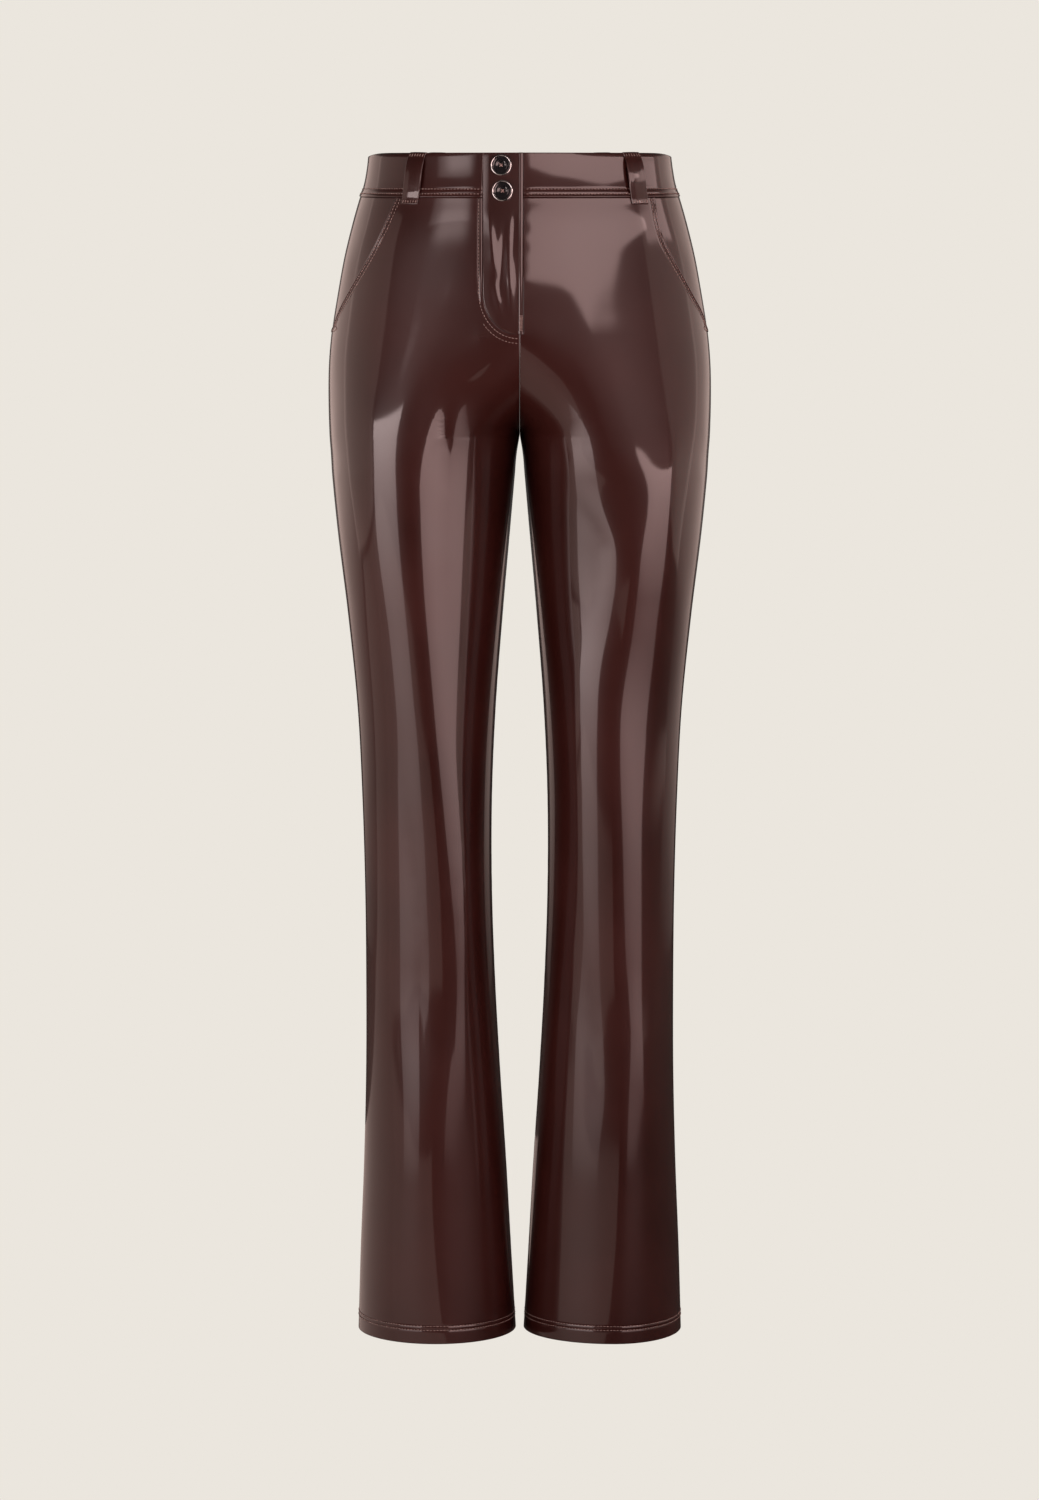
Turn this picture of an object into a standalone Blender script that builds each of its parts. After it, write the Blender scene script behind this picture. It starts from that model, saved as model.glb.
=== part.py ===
"""Flared trousers in glossy coated stretch cloth, filled out as if worn.

Metres, +Z up, the front faces -Y. The origin is the centre of the waist
opening, half way up the waistband. "Right" and "left" are the wearer's:
the right leg lies at -X.

The cloth is one closed surface, cut into its panels. A place on it has a
drop, the distance below the waistband's top edge, and an angle round the
half of the garment that it lies on: -180 is the inseam seen from the front,
-90 the front, 0 the side, 90 the back and 180 the inseam again. Above the
crotch the two halves are cut off at the middle plane.
"""

import math
from collections import namedtuple

import bmesh
import bpy
from mathutils import Vector

MM = 0.001

# Driving dimensions
BAND_HEIGHT = 38 * MM
HEM_DROP = 1028 * MM
CROTCH_DROP = 242.5 * MM
RISE_BEND_DROP = 125 * MM
RISE_POWER = 3.6
RISE_ROUND = 0.72
SEAM_GAP = 0.3 * MM
WALL = 1.2 * MM
BAND_WALL = 2.4 * MM
HEM_HEIGHT = 14 * MM
HEM_WALL = 2.4 * MM
SIDE_SEAM_BEHIND = 6 * MM
SIDE_DIP = 3.5 * MM
SIDE_DIP_ANGLE = 16.0
TOP_ROLL = 3.2 * MM
TOP_ROLL_DROP = 4.5 * MM

# Fly panel, in the middle of the front
FLY_RIGHT_EDGE = 31.5 * MM
FLY_LEFT_EDGE = 3.0 * MM
FLY_BEND_DROP = 116 * MM
FLY_CURVE_DROP = 154 * MM
FLY_END_DROP = 153.5 * MM
FLY_CURVE_POWER = 2.1
FLY_WALL = 1.8 * MM
FLY_PIPING_WIDTH = 4.0 * MM
FLY_PIPING_HEIGHT = 0.9 * MM

# Pocket facings at the hips
POCKET_UNDERLAP = 11 * MM
POCKET_TIP_WIDTH = 3.0 * MM
POCKET_SINK = 2.2 * MM

# Belt loops
LOOP_WIDTH = 14 * MM
LOOP_WALL = 1.4 * MM
LOOP_TOP_DROP = 0.4 * MM
LOOP_END_DROP = 44 * MM

# Buttons
BUTTON_RADIUS = 8.9 * MM
BUTTON_RIM_WIDTH = 1.3 * MM
BUTTON_HEIGHT = 3.0 * MM
BUTTON_WELL_FLOOR = 1.0 * MM
BUTTON_FACE_TOP = 2.4 * MM
BUTTON_SEAT = 0.5 * MM
BUTTON_STEPS = 24

# Sections of the cloth, in millimetres: half width to the side and to the
# inseam, depth in front of and behind the middle, the depths of the side and
# of the inseam, how square the section is (2 is an ellipse), and how far the
# foremost line of the right and of the left leg lies outside its middle.
Section = namedtuple("Section", "drop outer inner front back side inseam square right left")
SECTIONS = (
    Section(0, 130.4, 0, 97, 92, 2, 12, 2.30, 0, 0),
    Section(15, 132.6, 0, 99, 94, 2, 12, 2.30, 0, 0),
    Section(30, 135.2, 0, 101, 97, 2, 12, 2.30, 0, 0),
    Section(38, 138.0, 0, 102, 99, 2, 12, 2.30, 0, 0),
    Section(60, 144.4, 0, 105, 105, 3, 12, 2.28, 0, 0),
    Section(90, 151.8, 0, 107, 113, 3, 12, 2.25, 0, 0),
    Section(120, 157.4, 0, 108, 120, 4, 12, 2.22, 0, 0),
    Section(150, 162.3, 0, 108, 126, 4, 12, 2.20, 3, 3),
    Section(180, 165.2, 0, 107, 129, 4, 12, 2.18, 8, 8),
    Section(210, 165.8, 0, 106, 127, 4, 12, 2.15, 12, 12),
    Section(242.5, 165.0, 0, 104, 120, 3, 12, 2.12, 14.5, 15),
    Section(260, 163.8, 2.6, 103, 115, 3, 11, 2.10, 15, 15.5),
    Section(280, 162.6, 4.3, 102, 109, 2, 10, 2.08, 15, 15),
    Section(330, 157.7, 8.7, 97, 98, 2, 8, 2.06, 12, 13),
    Section(400, 149.2, 14.8, 90, 87, 1, 6, 2.05, 7, 8.5),
    Section(480, 141.2, 20.9, 82, 77, 0, 3, 2.05, 1, -2),
    Section(560, 137.2, 24.2, 77, 71, 0, 1, 2.05, -5.5, -1),
    Section(640, 135.0, 24.2, 74, 69, 0, 0, 2.05, -9.5, 1.5),
    Section(720, 134.3, 21.5, 73, 70, 0, 0, 2.04, -6, 5),
    Section(800, 134.6, 17.1, 74, 72, 0, 0, 2.03, -3, 8),
    Section(880, 136.6, 11.9, 76, 76, 1, 1, 2.02, -1, 9),
    Section(960, 139.8, 7.4, 79, 81, 1, 1, 2.00, 0, 9),
    Section(1028, 141.8, 3.4, 82, 84, 1, 1, 2.00, 0, 9),
)

# Where each pocket line lies: its share of the half width, at each drop.
PocketRow = namedtuple("PocketRow", "drop right left")
POCKET_LINE = (
    PocketRow(38, 0.765, 0.836),
    PocketRow(60, 0.798, 0.827),
    PocketRow(75, 0.825, 0.836),
    PocketRow(90, 0.858, 0.865),
    PocketRow(106, 0.900, 0.905),
    PocketRow(122, 0.942, 0.944),
    PocketRow(137, 0.975, 0.980),
    PocketRow(150, 0.992, 0.995),
)
POCKET_END_DROP = 156 * MM

# The largest folds: a soft ridge (or trough, where it is below nought) that
# runs down the cloth, as drop and half length in millimetres, angle, slant in
# degrees down its half length, half width in degrees, and height in mm.
Fold = namedtuple("Fold", "side drop reach angle slant width height")
FOLDS = (
    Fold("right", 205, 70, -118, 10, 17, 3.2),
    Fold("right", 330, 95, -58, -14, 16, 2.2),
    Fold("right", 560, 190, -104, -10, 18, 2.4),
    Fold("right", 880, 170, -72, 6, 20, 2.6),
    Fold("right", 262, 52, 118, 16, 30, -4.0),
    Fold("right", 322, 60, 92, -20, 26, 3.0),
    Fold("right", 545, 70, 96, 10, 30, -3.4),
    Fold("right", 905, 140, 118, -8, 24, 3.0),
    Fold("left", 198, 66, -112, -8, 18, 3.4),
    Fold("left", 318, 90, -66, 12, 15, 2.6),
    Fold("left", 590, 180, -110, 8, 17, 2.6),
    Fold("left", 860, 190, -70, -8, 20, 2.2),
    Fold("left", 259, 50, 114, -14, 30, -4.2),
    Fold("left", 316, 56, 88, 18, 26, 2.8),
    Fold("left", 532, 66, 102, -12, 30, -3.8),
    Fold("left", 890, 150, 112, 8, 24, 3.2),
)
FOLD_FADE = 22 * MM
# The steepest slope that the wall's thickness is turned by.
STEEPEST_FALL = 0.8
# Beside the inseam, within this distance and past this angle, the wall's
# thickness is turned down by this slope.
INSEAM_REACH = 1.8 * MM
INSEAM_ANGLE = 179.0
INSEAM_FALL = 0.9
# Below the fly panel the front's edge leaves it this far under its end.
FLY_CLEARANCE = 0.45 * MM

# Belt loops: the share of the half width at which each one lies.
LoopPlace = namedtuple("LoopPlace", "name side face share")
LOOPS = (
    LoopPlace("belt_loop_front_right", "right", "front", 0.668),
    LoopPlace("belt_loop_front_left", "left", "front", 0.732),
    LoopPlace("belt_loop_back_right", "right", "back", 0.560),
    LoopPlace("belt_loop_back_left", "left", "back", 0.560),
    LoopPlace("belt_loop_back_centre", "left", "back", 0.0),
)
# How far a loop stands off the cloth, down its length, in millimetres.
LOOP_STANDOFF = ((0.4, 0.3), (4, 0.4), (9, 1.9), (16, 2.8), (25, 2.9), (33, 2.0), (39, 0.6), (44, 0.3))

# Buttons: across from the middle and down from the top edge.
ButtonPlace = namedtuple("ButtonPlace", "name across drop")
BUTTONS = (
    ButtonPlace("button_upper", -15.7 * MM, 11.0 * MM),
    ButtonPlace("button_lower", -14.6 * MM, 32.6 * MM),
)

# Rows of the panels: each stretch ends at a drop and has a number of rows.
Stretch = namedtuple("Stretch", "end rows")
FRONT_ROWS = (
    Stretch(206, 4),
    Stretch(234, 3),
    Stretch(242.5, 3),
    Stretch(252, 2),
    Stretch(290, 2),
    Stretch(410, 3),
    Stretch(820, 7),
    Stretch(1013.8, 4),
    Stretch(1014.0, 1),
    Stretch(1028, 1),
)
BACK_ROWS = (
    Stretch(206, 8),
    Stretch(234, 3),
    Stretch(242.5, 3),
    Stretch(252, 2),
    Stretch(290, 2),
    Stretch(410, 3),
    Stretch(820, 7),
    Stretch(1013.8, 4),
    Stretch(1014.0, 1),
    Stretch(1028, 1),
)
PANEL_COLUMNS = 11
BAND_ROWS = 4
FLY_STRAIGHT_ROWS = 6
FLY_CURVE_ROWS = 7
BAND_COLUMNS = 22
FLY_COLUMNS = 5
HIP_COLUMNS = 4
HIP_ROWS = 11
LOOP_ROWS = 10
LOOP_COLUMNS = 3

CLOTH_COLOUR = (0.045, 0.012, 0.010)
CLOTH_ROUGHNESS = 0.12
RIM_COLOUR = (0.72, 0.72, 0.73)
BUTTON_FACE_COLOUR = (0.008, 0.008, 0.009)

HALF_GAP = SEAM_GAP / 2
# The waistband halves end beside the fly panel, this far from the middle.
BAND_START = {"right": FLY_RIGHT_EDGE + 1.3 * SEAM_GAP, "left": FLY_LEFT_EDGE + SEAM_GAP}
# The waistband's rows lie closer together at its top edge by this power.
BAND_ROW_POWER = 1.3


# ---------------------------------------------------------------- tables


def cubic(low, high, slope_low, slope_high, span, share):
    """A cubic between two values with the given slopes at its ends."""
    square, cube = share**2, share**3
    return (
        (2 * cube - 3 * square + 1) * low
        + (cube - 2 * square + share) * span * slope_low
        + (3 * square - 2 * cube) * high
        + (cube - square) * span * slope_high
    )


def slope_at(places, values, index):
    """The slope of a table at one row, from the rows on both sides."""
    before = max(index - 1, 0)
    after = min(index + 1, len(places) - 1)
    return (values[after] - values[before]) / (places[after] - places[before])


def read_table(places, values, place):
    """A smooth curve through the rows of a table."""
    place = min(max(place, places[0]), places[-1])
    index = 0
    while index < len(places) - 2 and place > places[index + 1]:
        index += 1
    span = places[index + 1] - places[index]
    return cubic(
        values[index],
        values[index + 1],
        slope_at(places, values, index),
        slope_at(places, values, index + 1),
        span,
        (place - places[index]) / span,
    )


def section_size(column, drop):
    """One size of the cloth's section at a drop, in metres."""
    drops = [row.drop for row in SECTIONS]
    sizes = [getattr(row, column) for row in SECTIONS]
    return read_table(drops, sizes, drop / MM) * MM


# --------------------------------------------------------------- surface


def rise_share(drop):
    """How much of the depth is left at the middle seam: 1 above, 0 at the crotch."""
    share = (drop - RISE_BEND_DROP) / (CROTCH_DROP - RISE_BEND_DROP)
    share = min(max(share, 0.0), 1.0)
    return (1.0 - share**RISE_POWER) ** RISE_ROUND


class Ring:
    """The section of one half of the garment, right or left, at a drop."""

    def __init__(self, side, drop):
        self.drop = drop
        self.outer = section_size("outer", drop)
        self.square = section_size("square", drop) / MM
        self.front = -section_size("front", drop)
        self.back = section_size("back", drop)
        self.side = section_size("side", drop)
        self.inseam = section_size("inseam", drop)
        self.inner = 0.0
        if drop > CROTCH_DROP:
            self.inner = max(section_size("inner", drop), HALF_GAP)
        rolled = max(1.0 - drop / TOP_ROLL_DROP, 0.0)
        self.outer -= TOP_ROLL * rolled**2
        lean = section_size(side, drop)
        if drop < CROTCH_DROP:
            cut = (1.0 - rise_share(drop) ** self.square) ** (1.0 / self.square)
            self.middle = self.outer * cut / (1.0 + cut) + lean * cut
            self.inner_reach = self.middle / cut if cut > 0 else self.outer
        else:
            self.middle = (self.outer + self.inner) / 2 + lean
            self.inner_reach = self.middle - self.inner

    def point(self, angle):
        """(x, y) at an angle, before folds."""
        power = 2.0 / self.square
        across = math.cos(math.radians(angle))
        along = abs(math.sin(math.radians(angle))) ** power
        extreme = self.front if angle < 0 else self.back
        if across >= 0:
            return (
                self.middle + (self.outer - self.middle) * across**power,
                self.side + (extreme - self.side) * along,
            )
        return (
            self.middle - self.inner_reach * (-across) ** power,
            self.inseam + (extreme - self.inseam) * along,
        )

    def normal(self, angle):
        """The section's outward direction at an angle."""
        x, y = self.point(angle)
        extreme = self.front if angle < 0 else self.back
        if x >= self.middle:
            reach, centre = self.outer - self.middle, self.side
        else:
            reach, centre = self.inner_reach, self.inseam
        depth = abs(extreme - centre)
        power = self.square - 1
        across = math.copysign(abs((x - self.middle) / reach) ** power / reach, x - self.middle)
        along = math.copysign(abs((y - centre) / depth) ** power / depth, y - centre)
        length = math.hypot(across, along)
        return across / length, along / length

    def angle_at_x(self, x, face):
        """The angle on the front or the back at which the section has this half width."""
        sign = -1 if face == "front" else 1
        if x >= self.middle:
            share = min((x - self.middle) / (self.outer - self.middle), 1.0)
            turn = math.acos(share ** (self.square / 2))
        else:
            share = min((self.middle - x) / self.inner_reach, 1.0)
            turn = math.pi - math.acos(share ** (self.square / 2))
        return sign * math.degrees(turn)

    def angle_at_side(self, y):
        """The angle near the side at which the section has this depth."""
        extreme = self.front if y < self.side else self.back
        share = (y - self.side) / (extreme - self.side)
        turn = math.degrees(math.asin(share ** (self.square / 2)))
        return math.copysign(turn, y - self.side)

    def angle_at_inseam(self, gap, face):
        """The angle that is this far from the inseam, on the front or the back."""
        extreme = self.front if face == "front" else self.back
        share = gap / abs(extreme - self.inseam)
        turn = 180.0 - math.degrees(math.asin(share ** (self.square / 2)))
        return -turn if face == "front" else turn


def fold_height(side, drop, angle, x):
    """How far the folds lift the cloth here."""
    height = 0.0
    for fold in FOLDS:
        along = (drop / MM - fold.drop) / fold.reach
        if fold.side != side or abs(along) >= 1:
            continue
        away = (angle - fold.angle - fold.slant * along) / fold.width
        height += fold.height * MM * (1 - along**2) ** 2 * math.exp(-(away**2))
    return height * min(max(x - HALF_GAP, 0.0) / FOLD_FADE, 1.0)


def top_drop(angle):
    """The drop of the top edge, which dips a little at each side."""
    return SIDE_DIP * math.exp(-((angle / SIDE_DIP_ANGLE) ** 2))


def cloth(side, drop, angle, out=0.0):
    """The point on the cloth's outer face, or moved out from it along its normal."""
    step = 0.5 * MM
    ring = Ring(side, drop)
    x, y = ring.point(angle)
    across, along = ring.normal(angle)
    above, below = Ring(side, drop - step).point(angle), Ring(side, drop + step).point(angle)
    fall = ((below[0] - above[0]) * across + (below[1] - above[1]) * along) / (2 * step)
    normal = Vector((across, along, min(max(fall, -STEEPEST_FALL), STEEPEST_FALL)))
    if x < 1.5 * HALF_GAP and drop < CROTCH_DROP + step:
        normal = rise_normal(drop, angle)
    elif x < INSEAM_REACH and abs(angle) > INSEAM_ANGLE:
        normal = Vector((-1.0, 0.0, -INSEAM_FALL))
    lift = fold_height(side, drop, angle, x)
    place = Vector((x + across * lift, y + along * lift, BAND_HEIGHT / 2 - drop))
    place += normal.normalized() * out
    if x < 1.5 * HALF_GAP:
        place.x = HALF_GAP
    if side == "right":
        place.x = -place.x
    return place


def rise_normal(drop, angle):
    """The outward direction on the middle seam, which curves under to the crotch."""
    step = 0.5 * MM
    face = "front" if angle < 0 else "back"
    above = rise_depth(drop - step, face)
    below = rise_depth(min(drop + step, CROTCH_DROP), face)
    fall = (below - above) / (min(drop + step, CROTCH_DROP) - drop + step)
    if face == "front":
        return Vector((0.0, -1.0, -fall))
    return Vector((0.0, 1.0, fall))


def rise_depth(drop, face):
    """The depth of the middle seam."""
    ring = Ring("right", drop)
    extreme = ring.front if face == "front" else ring.back
    return ring.inseam + (extreme - ring.inseam) * rise_share(drop)


# ---------------------------------------------------------- panel borders


def inner_angle(side, drop, face):
    """The edge of a front or back panel at the middle seam or the inseam."""
    ring = Ring(side, drop)
    inseam_edge = ring.angle_at_inseam(HALF_GAP, face)
    if drop >= CROTCH_DROP:
        return inseam_edge
    middle_edge = ring.angle_at_x(HALF_GAP, face)
    if face == "front":
        return max(middle_edge, inseam_edge)
    return min(middle_edge, inseam_edge)


def side_angle(side, drop, gap):
    """The side seam, just behind the widest line, or a gap before or after it."""
    ring = Ring(side, drop)
    return ring.angle_at_side(ring.side + SIDE_SEAM_BEHIND + gap)


def fly_half_width(drop, grow=0.0):
    """How far the fly panel reaches to the right: straight, then round to the middle."""
    width = FLY_RIGHT_EDGE + grow
    share = (drop - FLY_BEND_DROP) / (FLY_CURVE_DROP + grow - FLY_BEND_DROP)
    if share <= 0:
        return width
    return width * max(1 - share**FLY_CURVE_POWER, 0.0) ** (1 / FLY_CURVE_POWER)


def front_inner_angle(side, drop):
    """The front panel's edge: along the fly panel, then the middle seam, then the inseam."""
    if drop > FLY_END_DROP + FLY_CLEARANCE:
        return inner_angle(side, drop, "front")
    width = FLY_LEFT_EDGE + SEAM_GAP
    if side == "right":
        width = fly_half_width(drop, SEAM_GAP) + SEAM_GAP / 3
    return Ring(side, drop).angle_at_x(width, "front")


def pocket_angle(side, drop):
    """The pocket line, which runs from the waistband round to the side seam."""
    drops = [row.drop for row in POCKET_LINE]
    shares = [getattr(row, side) for row in POCKET_LINE]
    ring = Ring(side, drop)
    share = min(read_table(drops, shares, drop / MM), 0.9995)
    angle = ring.angle_at_x(share * ring.outer, "front")
    last = drops[-1] * MM
    if drop > last:
        toward = min((drop - last) / (POCKET_END_DROP - last), 1.0)
        angle += (side_angle(side, drop, 0.0) - angle) * toward
    return angle


def pocket_open(side, drop):
    """True where the pocket line is still clear of the side seam."""
    ring = Ring(side, drop)
    line = ring.point(pocket_angle(side, drop))
    seam = ring.point(side_angle(side, drop, 0.0))
    return math.dist(line, seam) > POCKET_TIP_WIDTH


def pocket_end(side):
    """The lowest drop at which the pocket facing shows."""
    drop = 120 * MM
    while pocket_open(side, drop):
        drop += 0.5 * MM
    return drop


def front_outer_angle(side, drop):
    """The front panel's edge at the pocket line, and at the side seam below it."""
    if drop > pocket_end(side):
        return side_angle(side, drop, -HALF_GAP)
    return pocket_angle(side, drop)


# ------------------------------------------------------------ construction


def make_material(name, colour, roughness, metallic=0.0, coat=0.0):
    """A plain Principled material."""
    material = bpy.data.materials.new(name)
    material.use_nodes = True
    shader = material.node_tree.nodes["Principled BSDF"]
    shader.inputs["Base Color"].default_value = (*colour, 1.0)
    shader.inputs["Roughness"].default_value = roughness
    shader.inputs["Metallic"].default_value = metallic
    shader.inputs["Coat Weight"].default_value = coat
    return material


def add_object(name, mesh, material, collection):
    """Puts a finished mesh in the garment's collection."""
    part = bpy.data.objects.new(name, mesh)
    mesh.materials.append(material)
    mesh.shade_smooth()
    mesh.set_sharp_from_angle(angle=math.radians(40))
    collection.objects.link(part)
    return part


def wall_mesh(name, outside, inside):
    """A closed wall through two matching grids of points, its outer and inner faces."""
    build = bmesh.new()
    grids = []
    for grid in (outside, inside):
        grids.append([[build.verts.new(place) for place in row] for row in grid])
    outer, inner = grids
    rows, columns = len(outer), len(outer[0])
    for row in range(rows - 1):
        for column in range(columns - 1):
            for grid in grids:
                corners = (
                    grid[row][column],
                    grid[row + 1][column],
                    grid[row + 1][column + 1],
                    grid[row][column + 1],
                )
                build.faces.new(corners)
    border = [(0, column) for column in range(columns)]
    border += [(row, columns - 1) for row in range(1, rows)]
    border += [(rows - 1, column) for column in range(columns - 2, -1, -1)]
    border += [(row, 0) for row in range(rows - 2, 0, -1)]
    for place, following in zip(border, border[1:] + border[:1]):
        edge = (
            outer[place[0]][place[1]],
            outer[following[0]][following[1]],
            inner[following[0]][following[1]],
            inner[place[0]][place[1]],
        )
        build.faces.new(edge)
    bmesh.ops.recalc_face_normals(build, faces=build.faces)
    mesh = bpy.data.meshes.new(name)
    build.to_mesh(mesh)
    build.free()
    return mesh


def row_drops(start, stretches):
    """The drops of a panel's rows."""
    drops = [start]
    for stretch in stretches:
        first, last = drops[-1], stretch.end * MM
        for row in range(1, stretch.rows + 1):
            drops.append(first + (last - first) * row / stretch.rows)
    return drops


def spread(start, end, columns):
    """Angles from one edge of a panel to the other."""
    return [start + (end - start) * column / columns for column in range(columns + 1)]


def fly_drops(start):
    """The drops of the rows along the fly panel, from a start down to its end."""
    rows = FLY_STRAIGHT_ROWS
    drops = [start + (FLY_BEND_DROP - start) * row / rows for row in range(rows + 1)]
    curve = FLY_END_DROP - FLY_BEND_DROP
    rows = FLY_CURVE_ROWS
    drops += [FLY_BEND_DROP + curve * math.sin(math.pi / 2 * row / rows) for row in range(1, rows + 1)]
    return drops


def hem_wall(drop):
    """The cloth is double where the hem is turned up inside."""
    return HEM_WALL if drop > HEM_DROP - HEM_HEIGHT - MM * 0.1 else WALL


def panel_grids(side, drops, borders, columns):
    """A panel's outer and inner points, between two borders that depend on the drop."""
    outside, inside = [], []
    for drop in drops:
        angles = spread(*borders(drop), columns)
        outside.append([cloth(side, drop, angle) for angle in angles])
        inside.append([cloth(side, drop, angle, -hem_wall(drop)) for angle in angles])
    return outside, inside


def front_panel(side, material, collection):
    """One front, from the waistband seam to the hem."""
    name = "front_" + side
    end = pocket_end(side)
    drops = fly_drops(BAND_HEIGHT + HALF_GAP)
    drops += row_drops(FLY_END_DROP + SEAM_GAP, FRONT_ROWS)
    drops = sorted(drops + [FLY_END_DROP + 2 * SEAM_GAP, end, end + SEAM_GAP])

    def borders(drop):
        return front_inner_angle(side, drop), front_outer_angle(side, drop)

    grids = panel_grids(side, drops, borders, PANEL_COLUMNS)
    return add_object(name, wall_mesh(name, *grids), material, collection)


def back_panel(side, material, collection):
    """One back, from the waistband seam to the hem."""
    name = "back_" + side
    drops = row_drops(BAND_HEIGHT + HALF_GAP, BACK_ROWS)

    def borders(drop):
        return side_angle(side, drop, HALF_GAP), inner_angle(side, drop, "back")

    grids = panel_grids(side, drops, borders, PANEL_COLUMNS)
    return add_object(name, wall_mesh(name, *grids), material, collection)


def hip_panel(side, material, collection):
    """The pocket facing: it lies under the front's edge and comes up to the side seam."""
    name = "hip_panel_" + side
    end = pocket_end(side)
    outside, inside = [], []
    first = BAND_HEIGHT + HALF_GAP
    for row in range(HIP_ROWS + 1):
        drop = first + (end - HALF_GAP - first) * row / HIP_ROWS
        ring = Ring(side, drop)
        line = pocket_angle(side, drop)
        seam = side_angle(side, drop, -HALF_GAP)
        hidden = ring.angle_at_x(ring.point(line)[0] - POCKET_UNDERLAP, "front")
        angles = [hidden] + spread(line, seam, HIP_COLUMNS)
        shown, back = [], []
        for angle in angles:
            depth = POCKET_SINK * min((seam - angle) / (seam - line), 1.0)
            shown.append(cloth(side, drop, angle, -depth))
            back.append(cloth(side, drop, angle, -depth - WALL))
        outside.append(shown)
        inside.append(back)
    return add_object(name, wall_mesh(name, outside, inside), material, collection)


def band_point(side, share, angle, out):
    """A point on the waistband, by its share of the height below the dipping top edge."""
    top = top_drop(angle)
    bottom = BAND_HEIGHT - HALF_GAP
    return cloth(side, top + (bottom - top) * share, angle, out)


def band_angles(side):
    """The waistband's angles, from the fly panel round to the middle of the back."""
    start = Ring(side, BAND_HEIGHT / 2).angle_at_x(BAND_START[side], "front")
    return spread(start, 90.0, BAND_COLUMNS)


def waistband(side, material, collection):
    """One half of the waistband, doubled cloth."""
    name = "waistband_" + side
    outside, inside = [], []
    for row in range(BAND_ROWS + 1):
        share = (row / BAND_ROWS) ** BAND_ROW_POWER
        shown, back = [], []
        for angle in band_angles(side):
            shown.append(band_point(side, share, angle, 0.0))
            back.append(band_point(side, share, angle, -BAND_WALL))
        for places in (shown, back):
            places[0].x = math.copysign(BAND_START[side], places[0].x)
            places[-1].x = math.copysign(HALF_GAP, places[-1].x)
        outside.append(shown)
        inside.append(back)
    return add_object(name, wall_mesh(name, outside, inside), material, collection)


def front_place(x, drop, out):
    """A point on the front by its distance across from the middle."""
    side = "right" if x < 0 else "left"
    angle = Ring(side, drop).angle_at_x(abs(x), "front")
    place = cloth(side, drop, angle, out)
    place.x = x
    return place


def fly_panel(material, collection):
    """The fly panel with its rounded lower end and its raised left edge."""
    first = BAND_HEIGHT + HALF_GAP
    drops = [first * row / 4 for row in range(4)] + fly_drops(first)
    outside, inside = [], []
    for drop in drops:
        right = -fly_half_width(drop)
        piping = FLY_LEFT_EDGE - FLY_PIPING_WIDTH
        across = spread(right, piping, FLY_COLUMNS)
        heights = [0.0] * len(across)
        across += [FLY_LEFT_EDGE - FLY_PIPING_WIDTH * 0.75, FLY_LEFT_EDGE - FLY_PIPING_WIDTH * 0.25]
        heights += [FLY_PIPING_HEIGHT, FLY_PIPING_HEIGHT]
        across.append(FLY_LEFT_EDGE)
        heights.append(0.0)
        shown = [front_place(x, drop, height) for x, height in zip(across, heights)]
        back = [front_place(x, drop, -FLY_WALL) for x in across]
        outside.append(shown)
        inside.append(back)
    mesh = wall_mesh("fly_panel", outside, inside)
    return add_object("fly_panel", mesh, material, collection)


def loop_standoff(drop):
    """How far a belt loop stands off the cloth at a drop."""
    drops = [row[0] for row in LOOP_STANDOFF]
    gaps = [row[1] for row in LOOP_STANDOFF]
    return read_table(drops, gaps, drop / MM) * MM


def loop_place(loop, drop, across, out):
    """A point of a belt loop, which follows the cloth behind it."""
    side = loop.side
    x = loop.share * Ring(side, drop).outer + across
    if x < 0:
        side = "right" if side == "left" else "left"
    angle = Ring(side, drop).angle_at_x(abs(x), loop.face)
    place = cloth(side, drop, angle, out)
    if abs(x) < 4 * HALF_GAP:
        place.x = x if loop.side == "left" else -x
    return place


def belt_loop(loop, material, collection):
    """A strip over the waistband, sewn down at both ends."""
    outside, inside = [], []
    for row in range(LOOP_ROWS + 1):
        drop = LOOP_TOP_DROP + (LOOP_END_DROP - LOOP_TOP_DROP) * row / LOOP_ROWS
        gap = loop_standoff(drop)
        shown, back = [], []
        for column in range(LOOP_COLUMNS + 1):
            across = LOOP_WIDTH * (column / LOOP_COLUMNS - 0.5)
            shown.append(loop_place(loop, drop, across, gap + LOOP_WALL))
            back.append(loop_place(loop, drop, across, gap))
        outside.append(shown)
        inside.append(back)
    return add_object(loop.name, wall_mesh(loop.name, outside, inside), material, collection)


def turned_mesh(name, profile):
    """A turned piece about Z, from a profile of (radius, height) that runs down its outer side."""
    build = bmesh.new()
    steps = BUTTON_STEPS
    verts = [build.verts.new((radius, 0.0, height)) for radius, height in profile]
    edges = [build.edges.new(pair) for pair in zip(verts, verts[1:])]
    bmesh.ops.spin(
        build,
        geom=verts + edges,
        cent=(0, 0, 0),
        axis=(0, 0, 1),
        angle=2 * math.pi,
        steps=steps,
        use_duplicate=False,
    )
    bmesh.ops.remove_doubles(build, verts=build.verts, dist=0.01 * MM)
    bmesh.ops.recalc_face_normals(build, faces=build.faces)
    mesh = bpy.data.meshes.new(name)
    build.to_mesh(mesh)
    build.free()
    return mesh


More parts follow.
